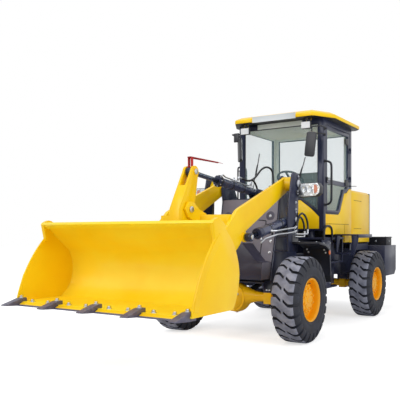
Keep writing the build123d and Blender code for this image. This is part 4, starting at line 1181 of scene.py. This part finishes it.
leads = [
    addTube(spots(
        (0.478, 1.034, 2.680), (0.500, 1.050, 2.705), (0.512, 1.060, 2.730), (0.505, 1.070, 2.7545)), 0.0035),
    addTube(spots(
        (0.442, 1.034, 2.680), (0.436, 1.055, 2.700), (0.446, 1.064, 2.735), (0.452, 1.070, 2.7545)), 0.0035)]
addPair(leads, "roof_lamp_leads", "roof_lamps", "wireYellow")

# mirrors: silvered faces, pillar clamps, and the small wide-angle mirror on the right
mirror = {"middle": (0.532, 1.0, 2.393), "tilt": 7, "hinge": (-0.532, 0.990, 0), "swing": -48}
face = addSlab((0.474, 1.0035, 2.240), (0.590, 1.0065, 2.545))
face.data.transform(turnAbout(spot(*mirror["middle"]), mirror["tilt"], "Y"))
insetFaces(face, "back", 0.004, 0.0015)
twin = mirrorOf(eased(face, 0.0012, 1))
turn = turnAbout(spot(*mirror["hinge"]), mirror["swing"], "Z")
twin.data.transform(turn)
for vertex in pieces["mirrors_eased"].data.vertices:
    if vertex.co.x < -0.44 and vertex.co.z < 2.562 and vertex.co.y - frontY < 1.02:
        vertex.co = turn @ vertex.co
addDetail([face, twin], "mirror_faces", "mirrors", "mirrorGlass")
clamps = [pressedSlab((0.636, 1.172, z - 0.018), (0.660, 1.200, z + 0.018), "left", 0.005, 0.003, 0.002)
          for z in (2.620, 2.540)]
addPair(clamps, "mirror_clamps", "mirrors", "blackPlastic")
small = pressedSlab((-0.640, 0.992, 2.512), (-0.556, 1.012, 2.640), "front", 0.012, 0.006, 0.010, 3)
addDetail([small], "mirror_small", "mirrors", "blackPlastic")
print("roof and mirrors ready")


# cab: window seals, wipers, handles, air cleaner, hinge covers, lock and door stay
cab = {"seal": 0.008}
screen = [(-0.556, 2.686), (0.556, 2.686), (0.556, 1.536), (0.474, 1.594), (0.314, 1.714), (-0.314, 1.714),
          (-0.474, 1.594), (-0.556, 1.536)]
seals = [
    addTube([spot(x, 1.176, z) for x, z in screen], cab["seal"], 6, 2, True),
    addTube([spot(x, 2.242, z) for x, z in (
        (-0.535, 2.675), (0.535, 2.675), (0.535, 1.965), (-0.535, 1.965))], cab["seal"], 6, 2, True)]
addDetail(seals, "window_seals", "cab_glass", "blackPlastic")
wipers = []
for foot, tip in (((-0.432, 1.745), (-0.327, 2.353)), ((0.230, 1.760), (0.371, 2.257))):
    foot, tip = spot(foot[0], 1.150, foot[1]), spot(tip[0], 1.166, tip[1])
    run = tip - foot
    wipers.append(stud(foot + Vector((0, 0.012, 0)), (0, -1, 0), 0.016, 0.018, 16))
    wipers.append(addTube([
        foot, foot + run * 0.3, foot + run * 0.62 + Vector((0, -0.012, 0)), foot + run * 0.74], 0.0055))
    blade = addPlate([foot + run * 0.42, foot + run * 0.44 + Vector((0.012, 0, 0)), tip + Vector((0.010, 0, 0)), tip],
                     (0, 0.010, 0))
    wipers.append(eased(blade, 0.0015, 1))
addDetail(wipers, "wipers", "cab_shell", "blackPlastic")
bars = [
    addTube(spots(
        (0.632, 1.200, 2.190), (0.672, 1.200, 2.192), (0.735, 1.200, 2.160), (0.738, 1.200, 2.080),
        (0.738, 1.200, 1.720), (0.735, 1.200, 1.640), (0.672, 1.200, 1.608), (0.632, 1.200, 1.610)), 0.0145, 12),
    addTube(spots(
        (0.651, 1.150, 1.140), (0.651, 1.148, 1.250), (0.651, 1.200, 1.330), (0.651, 1.400, 1.330),
        (0.651, 1.452, 1.250), (0.651, 1.450, 1.140)), 0.0155, 12)]
rail = addBentBar(spots(
    (-0.632, 1.240, 1.620), (-0.715, 1.240, 1.640), (-0.715, 1.240, 2.195), (-0.715, 1.490, 2.195),
    (-0.715, 1.490, 1.640), (-0.632, 1.490, 1.620)), 0.0115, 0.09, 12)
addDetail(bars + [mirrorOf(bars[1]), rail], "grab_handles", "cab_shell", "blackPaint")
cleaner = addLathe([
    (0.0, 0.0), (0.0, 0.034), (0.200, 0.034), (0.215, 0.052), (0.330, 0.052), (0.336, 0.058), (0.350, 0.058),
    (0.356, 0.050), (0.372, 0.030), (0.374, 0.0)], spot(-0.712, 1.375, 1.805), (0, 0, 1), 36)
bracket = addSlab((-0.712, 1.350, 1.850), (-0.6395, 1.400, 1.874))
insetFaces(bracket, "upAndDown", 0.005, -0.003)
addDetail([smooth(cleaner, 30), bracket], "air_cleaner", "cab_shell", "guardGrey")
feet = []
for x, y, z in ((0.6395, 1.200, 2.190), (0.6395, 1.200, 1.610), (-0.6395, 1.240, 1.622), (-0.6395, 1.490, 1.622)):
    feet.append(addTurned([
        (0, 0.0), (0, 0.026), (0.004, 0.026), (0.006, 0.023), (0.006, 0.0)], spot(x, y, z), (x, 0, 0), 24))
addDetail(feet, "grab_handle_feet", "cab_shell", "blackPaint")
# a pale strip over the windscreen's top rail: painted light standing in for lit glass in the roof's shade
band = pressedSlab((-0.345, 1.1562, 2.688), (0.345, 1.1598, 2.7540), "front", 0.004, -0.0008, 0.001, 1)
addDetail([band], "windscreen_top_band", "cab_glass", "bandPaintedLight")
covers = [pressedSlab((0.6385, 1.970, z), (0.6520, 2.100, z + 0.090), "left", 0.010, 0.003, 0.004)
          for z in (2.512, 1.912)]
addDetail(covers, "door_hinge_covers", "door_frame", "blackPlastic")
lock = pressedSlab((0.639, 1.262, 1.905), (0.652, 1.292, 1.985), "left", 0.005, 0.003, 0.002)
pull = addBentBar(spots((0.646, 1.277, 1.968), (0.672, 1.277, 1.968), (0.672, 1.352, 1.968)), 0.006, 0.012)
addDetail([lock, pull], "door_lock", "door_frame", "blackPlastic")
addDetail([stud(spot(0.651, 1.277, 1.925), (1, 0, 0), 0.008, 0.004, 16)], "door_key_barrel", "door_frame", "plated")
stay = addTube(spots((0.648, 2.205, 1.925), (0.662, 2.30, 1.932), (0.668, 2.40, 1.939)), 0.0045)
addDetail(
    [stay, stud(spot(0.640, 2.205, 1.925), (1, 0, 0), 0.012, 0.012, 16)], "door_holdback", "cab_shell", "blackPaint")


# seat: stuffed cushions on a sprung base, and the controls beside it
seat = {
    "corner": 0.030, "seamWidth": 0.010, "voxel": 0.006, "pressure": 4.0, "cushionCap": 0.012, "backCap": 0.012,
    "steps": 20}


def stuffPad(obj, cap):
    # foam swelling under its cover, held within the cap
    bevelEdges(obj, seat["corner"], 4)
    useModifier(obj, "REMESH", mode="VOXEL", voxel_size=seat["voxel"])
    before = [vertex.co.copy() for vertex in obj.data.vertices]
    pick(obj)
    cloth = obj.modifiers.new("foam", "CLOTH")
    cloth.settings.use_pressure = True
    cloth.settings.uniform_pressure_force = seat["pressure"]
    cloth.settings.effector_weights.gravity = 0
    for moment in range(1, seat["steps"] + 1):
        bpy.context.scene.frame_set(moment)
    bpy.ops.object.modifier_apply(modifier=cloth.name)
    bpy.context.scene.frame_set(1)
    for vertex, start in zip(obj.data.vertices, before):
        move = vertex.co - start
        if move.length > cap:
            vertex.co = start + move.normalized() * cap
    return obj


def sewChannels(obj, centre, across, along, out, places, depth, reach):
    # stitched channels: the cover is drawn in along lines on its outer side
    for vertex in obj.data.vertices:
        offset = vertex.co - centre
        if offset.dot(out) > 0 and abs(offset.dot(along)) < reach:
            for line in places:
                gap = offset.dot(across) - line
                vertex.co -= out * depth * exp(-(gap / seat["seamWidth"]) ** 2)
    return smooth(obj, 80)


across, along, up = Vector((1, 0, 0)), Vector((0, 1, 0)), Vector((0, 0, 1))
cushion = addSlab((-0.232, 1.594, 1.556), (0.232, 2.000, 1.664))
stuffPad(cushion, seat["cushionCap"])
sewChannels(cushion, spot(0, 1.80, 1.61), across, along, up, (-0.13, 0.13), 0.010, 0.19)
sewChannels(cushion, spot(0, 1.80, 1.61), along, across, up, (-0.09, 0.03), 0.007, 0.13)
finishPiece(cushion, "seat_cushion", "operator_seat", "seatVinyl")
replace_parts(cushion, "operator_seat")
rest = addBlock((-0.222, -0.044, -0.278), (0.222, 0.044, 0.278))
stuffPad(rest, seat["backCap"])
sewChannels(rest, Vector(), across, up, -along, (-0.13, 0.13), 0.010, 0.24)
sewChannels(rest, Vector(), up, across, -along, (-0.14, 0.0, 0.14), 0.007, 0.13)
rest.data.transform(Matrix.Translation(spot(0, 2.05, 1.88)) @ Matrix.Rotation(radians(-8), 4, "X"))
finishPiece(rest, "seat_back", "operator_seat", "seatVinyl")
base = pressedSlab((-0.200, 1.660, 1.3105), (0.200, 1.980, 1.556), "around", 0.020, -0.006, 0.010)
pan = pressedSlab((-0.215, 1.620, 1.540), (0.215, 2.020, 1.562), "down", 0.020, -0.006, 0.006)
rails = [addSlab((x - 0.02, 1.640, 1.528), (x + 0.02, 1.960, 1.545)) for x in (-0.16, 0.16)]
for rail in rails:
    insetFaces(rail, "leftAndRight", 0.004, -0.003)
addDetail([base, pan] + rails, "seat_base", "operator_seat", "cabPlastic")
bellows = []
for index in range(4):
    z = 1.350 + index * 0.045
    bellows.append(addTube([spot(x, y, z) for x, y in (
        (-0.205, 1.655), (0.205, 1.655), (0.205, 1.985), (-0.205, 1.985))], 0.012, 8, 3, True))
addDetail(bellows, "seat_bellows", "operator_seat", "blackPlastic")
dials = [addTurned([
    (0, 0.0), (0, 0.030), (0.006, 0.032), (0.010, 0.028), (0.004, 0.026), (0.003, 0.0)
], spot(x, 1.300, 1.8995), (0, 0.3, 1), 28) for x in (-0.12, -0.04, 0.04, 0.12)]
addDetail(dials, "console_dials", "console", "blackPlastic")
levers = []
for x in (0.30, 0.36):
    levers.append(addBentBar(spots((x, 1.72, 1.3105), (x, 1.72, 1.66), (x, 1.69, 1.78)), 0.008, 0.05))
    knob = addRound(spot(x, 1.692, 1.772), spot(x, 1.684, 1.806), 0.020, 16)
    levers.append(eased(knob, 0.008, 3))
addDetail(levers, "control_levers", "console", "blackPlastic")
print("cab ready")


# side panels and hood: seams, skirts, latch, rear lamps, exhaust stack
seams = [addSlab((0.6395, 1.250, 1.356), (0.6415, 2.150, 1.362)),
         addSlab((0.6395, 1.964, 1.110), (0.6415, 1.970, 1.356))]
grooves = [addSlab((0.6195, 2.420, 1.727), (0.6212, 2.780, 1.733)),
           addSlab((0.6195, 2.420, 1.300), (0.6212, 2.780, 1.306))]
for groove in seams + grooves:
    insetFaces(groove, "leftAndRight", 0.0015, -0.0006)
addPair(seams, "panel_seams", "cab_panels", "seamShadow")
addPair(grooves, "hood_seams", "engine_hood", "seamShadow")
skirts = [
    addSlab((0.594, 2.300, 0.975), (0.602, 3.165, 1.0720)), addSlab((0.000, 3.150, 1.0355), (0.590, 3.158, 1.0720))]
for skirt in skirts:
    insetFaces(skirt, "around", 0.010, -0.001)
addPair([eased(skirt, 0.002, 1) for skirt in skirts], "hood_skirts", "rear_frame", "navyGrey")
latch = pressedSlab((-0.045, 3.2295, 1.800), (0.045, 3.2380, 1.840), "back", 0.008, -0.004, 0.002)
addDetail([latch], "grille_latch", "rear_grille", "plated")
rearLamps = [
    # foot, finish, name
    (1.700, "amber", "indicators"), (1.610, "redLens", "stop_lamps"), (1.520, "lampWhite", "reverse_lamps"),
]
for z, finish, name in rearLamps:
    cell = pressedSlab((0.512, 3.2305, z), (0.588, 3.2400, z + 0.080), "back", 0.006, 0.003, 0.003)
    addPair([cell], "rear_" + name, "rear_grille", finish)
frames = pressedSlab((0.505, 3.2290, 1.510), (0.595, 3.2335, 1.790), "back", 0.004, -0.001, 0.002)
addPair([frames], "rear_lamp_frames", "rear_grille", "blackPlastic")
exhaustFoot = spot(-0.300, 2.900, 1.884)
pipe = addTurned([
    (0.0, 0.034), (0.0, 0.040), (0.004, 0.052), (0.020, 0.052), (0.024, 0.040), (0.190, 0.040), (0.200, 0.034)
], exhaustFoot, (0, 0, 1), 36)
cap = addTurned([
    (0.196, 0.0), (0.196, 0.050), (0.204, 0.056), (0.214, 0.052), (0.222, 0.020), (0.224, 0.0)
], exhaustFoot, (0, 0, 1), 36)
addDetail([pipe, cap], "exhaust_stack", "engine_hood", "iron")

# battery box, counterweight, tow pin and fender fittings
addDetail([boltsAt([
    (spot(0.610, 3.5600, 1.100), (0, -1, 0)), (spot(0.7900, 3.700, 1.100), (1, 0, 0))
], 0.022)], "battery_box_bolts", "battery_box", "plated")
places = [(spot(x, y, 1.1748), (0, 0, 1)) for x in (0.445, 0.775) for y in (3.575, 3.845)]
addBolts(places, 0.014, "battery_lid_screws", "battery_box")
places = [(spot(x, 3.880, z), (0, 1, 0)) for x in (-0.60, -0.25, 0.25, 0.60) for z in (0.700, 0.960)]
addDetail([boltsAt(places, 0.030)], "counterweight_bolts", "counterweight", "blackPaint")
pin = addRound(spot(0, 3.810, 0.560), spot(0, 3.810, 1.060), 0.0195, 24)
insetFaces(pin, "upAndDown", 0.004, 0.003)
grip = addBentBar(spots(
    (-0.030, 3.810, 1.052), (-0.030, 3.810, 1.095), (0.030, 3.810, 1.095), (0.030, 3.810, 1.052)), 0.007, 0.02)
collar = addTurned([
    (0.0, 0.020), (0.0, 0.038), (0.014, 0.038), (0.017, 0.034), (0.017, 0.020)
], spot(0, 3.810, 1.0352), (0, 0, 1), 28)
addDetail([pin, grip, collar], "tow_pin", "counterweight", "plated")
places = [(spot(x, y - 0.004, z), (0, -1, 0.1)) for x, y, z in (
    (0.663, 0.572, 1.035), (0.681, 0.577, 1.000), (0.889, 0.572, 1.030), (0.904, 0.577, 0.995))]
places += [(spot(x, 0.300, 1.1235), (0, 0.14, 1)) for x in (0.680, 0.900)]
addBoltPairs(places, 0.016, "fender_bolts", "front_fenders")
disc = addTurned(
    [(0, 0.0), (0, 0.026), (0.004, 0.026), (0.007, 0.022), (0.008, 0.0)], spot(0.9655, 0.545, 1.000), (1, 0, 0), 24)
addPair([disc], "fender_reflectors", "front_fenders", "amber")
flap = addPlate(spots(
    (0.690, 0.6045, 0.735), (0.960, 0.6045, 0.735), (0.960, 0.6095, 0.640), (0.690, 0.6095, 0.640)), (0, 0.005, 0))
addPair([eased(flap, 0.0015, 1)], "fender_flaps", "front_fenders", "hoseRubber")

# rear fenders: a strut under each outer corner
strut = addPlate(spots(
    (0.880, 1.562, 1.2005), (0.984, 1.562, 1.2005), (0.975, 1.566, 1.120), (0.945, 1.580, 1.020),
    (0.905, 1.590, 0.930), (0.850, 1.590, 0.930), (0.868, 1.580, 1.020), (0.884, 1.566, 1.120)), (0, 0.012, 0))
bar = addRound(spot(0.640, 1.600, 0.955), spot(0.885, 1.600, 0.955), 0.016, 20)
insetFaces(bar, "leftAndRight", 0.003, 0.002)
addPair([eased(strut, 0.003, 1), smooth(bar, 40)], "rear_fender_struts", "rear_fenders", "navyGrey")

# steps: raised ribs on the treads, bolts at their hangers
sideStep = {"treads": ((1.140, 1.660, 0.512), (1.440, 1.880, 0.842)), "pitch": 0.045, "x": (0.500, 0.632)}
ribs = []
for low, high, z in sideStep["treads"]:
    count = int((high - low) / sideStep["pitch"])
    for index in range(count):
        y = low + (index + 0.5) * (high - low) / count
        rib = addSlab((sideStep["x"][0], y - 0.005, z - 0.0005), (sideStep["x"][1], y + 0.005, z + 0.005))
        ribs.append(insetFaces(rib, "up", 0.0025, 0.001))
addPair(ribs, "step_ribs", "side_steps", "navyGrey")
places = [(spot(0.640, y, z), (1, 0, 0)) for y in (1.165, 1.395) for z in (0.560, 0.700, 1.100)]
addBoltPairs(places, 0.018, "step_bolts", "side_steps")

# axles: ring of bolts round the differential, plugs, bolts at the pads
axle = {"wheelBase": 2.450, "height": 0.465, "coverBolts": 12, "boltCircle": 0.145}
for node, y, way in (("front_axle", 0.0, -1), ("rear_axle", axle["wheelBase"], 1)):
    circle, places = axle["boltCircle"], []
    for turn in turnsOf(axle["coverBolts"]):
        places.append((spot(circle * cos(turn), y + way * 0.105, axle["height"] + circle * sin(turn)), (0, way, 0)))
    ring = addTurned([
        (-0.010, 0.100), (-0.010, 0.160), (0.008, 0.160), (0.012, 0.154), (0.012, 0.104), (0.010, 0.100)
    ], spot(0, y + way * 0.098, axle["height"]), (0, way, 0), 48)
    addDetail([boltsAt(places, 0.018), ring], node + "_cover", node, "axleYellow")
    addDetail([
        stud(spot(0, y, 0.2885), (0, 0, -1), 0.018, 0.008, 16),
        stud(spot(0.10, y + way * 0.16, 0.52), (0, way, 0), 0.016, 0.012, 16)], node + "_plugs", node, "plated")
    studs = [(spot(x, y + way * 0.060, 0.565), (0, way, 0)) for x in (0.430, 0.470)]
    addBoltPairs(studs, 0.022, node + "_pad_bolts", node)

# steering cylinders: gland rings
for name, side in flanks:
    rear = spot(side * 0.245, 1.660, 0.770)
    front = spot(side * 0.290, 0.760, 0.770)
    way = (front - rear).normalized()
    ring = addTurned([
        (-0.040, 0.0315), (-0.040, 0.0350), (-0.004, 0.0350), (0.002, 0.0310), (0.002, 0.0180), (-0.040, 0.0180)
    ], rear + way * 0.520, way, 32)
    addDetail([ring], "steer_gland_" + name, "steer_barrel_" + name, "blackPaint")
print("details ready")


# level indicator: two flat posts, and the arm across them that reaches back
level = {"eye": (-0.970, 1.880), "posts": (-0.019, 0.019)}
y, z = level["eye"]
parts = []
for x in level["posts"]:
    post = addPlate(spots(
        (x - 0.004, y - 0.019, z + 0.0480), (x - 0.004, y + 0.019, z + 0.0480), (x - 0.004, y + 0.021, 2.032),
        (x - 0.004, y - 0.021, 2.032)), (0.008, 0, 0))
    parts.append(eased(post, 0.0015, 1))
foot = addSlab((-0.026, y - 0.022, z + 0.0455), (0.026, y + 0.022, z + 0.0520))
parts.append(eased(foot, 0.002, 1))
addDetail(parts, "level_posts", "level_indicator", "red")
bridge = addPlate(spots(
    (-0.024, y - 0.026, 2.029), (0.024, y - 0.026, 2.029), (0.018, y + 0.530, 2.029), (0.004, y + 0.530, 2.029)
), (0, 0, 0.012))
rib = addPlate(spots(
    (0.005, y - 0.024, 2.020), (0.005, y - 0.024, 2.034), (0.007, y + 0.525, 2.034), (0.007, y + 0.525, 2.026)
), (0.008, 0, 0))
tipPin = addRound(spot(0.011, -0.446, 2.035), spot(0.011, -0.341, 2.035), 0.0035, 12, 0.002)
insetFaces(tipPin, "back", 0.0006, 0.0005)
arm = addDetail([eased(bridge, 0.002, 1), eased(rib, 0.0015, 1), tipPin], "level_arm", "level_indicator", "darkRed")
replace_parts(arm, "level_indicator")
print("indicator ready")
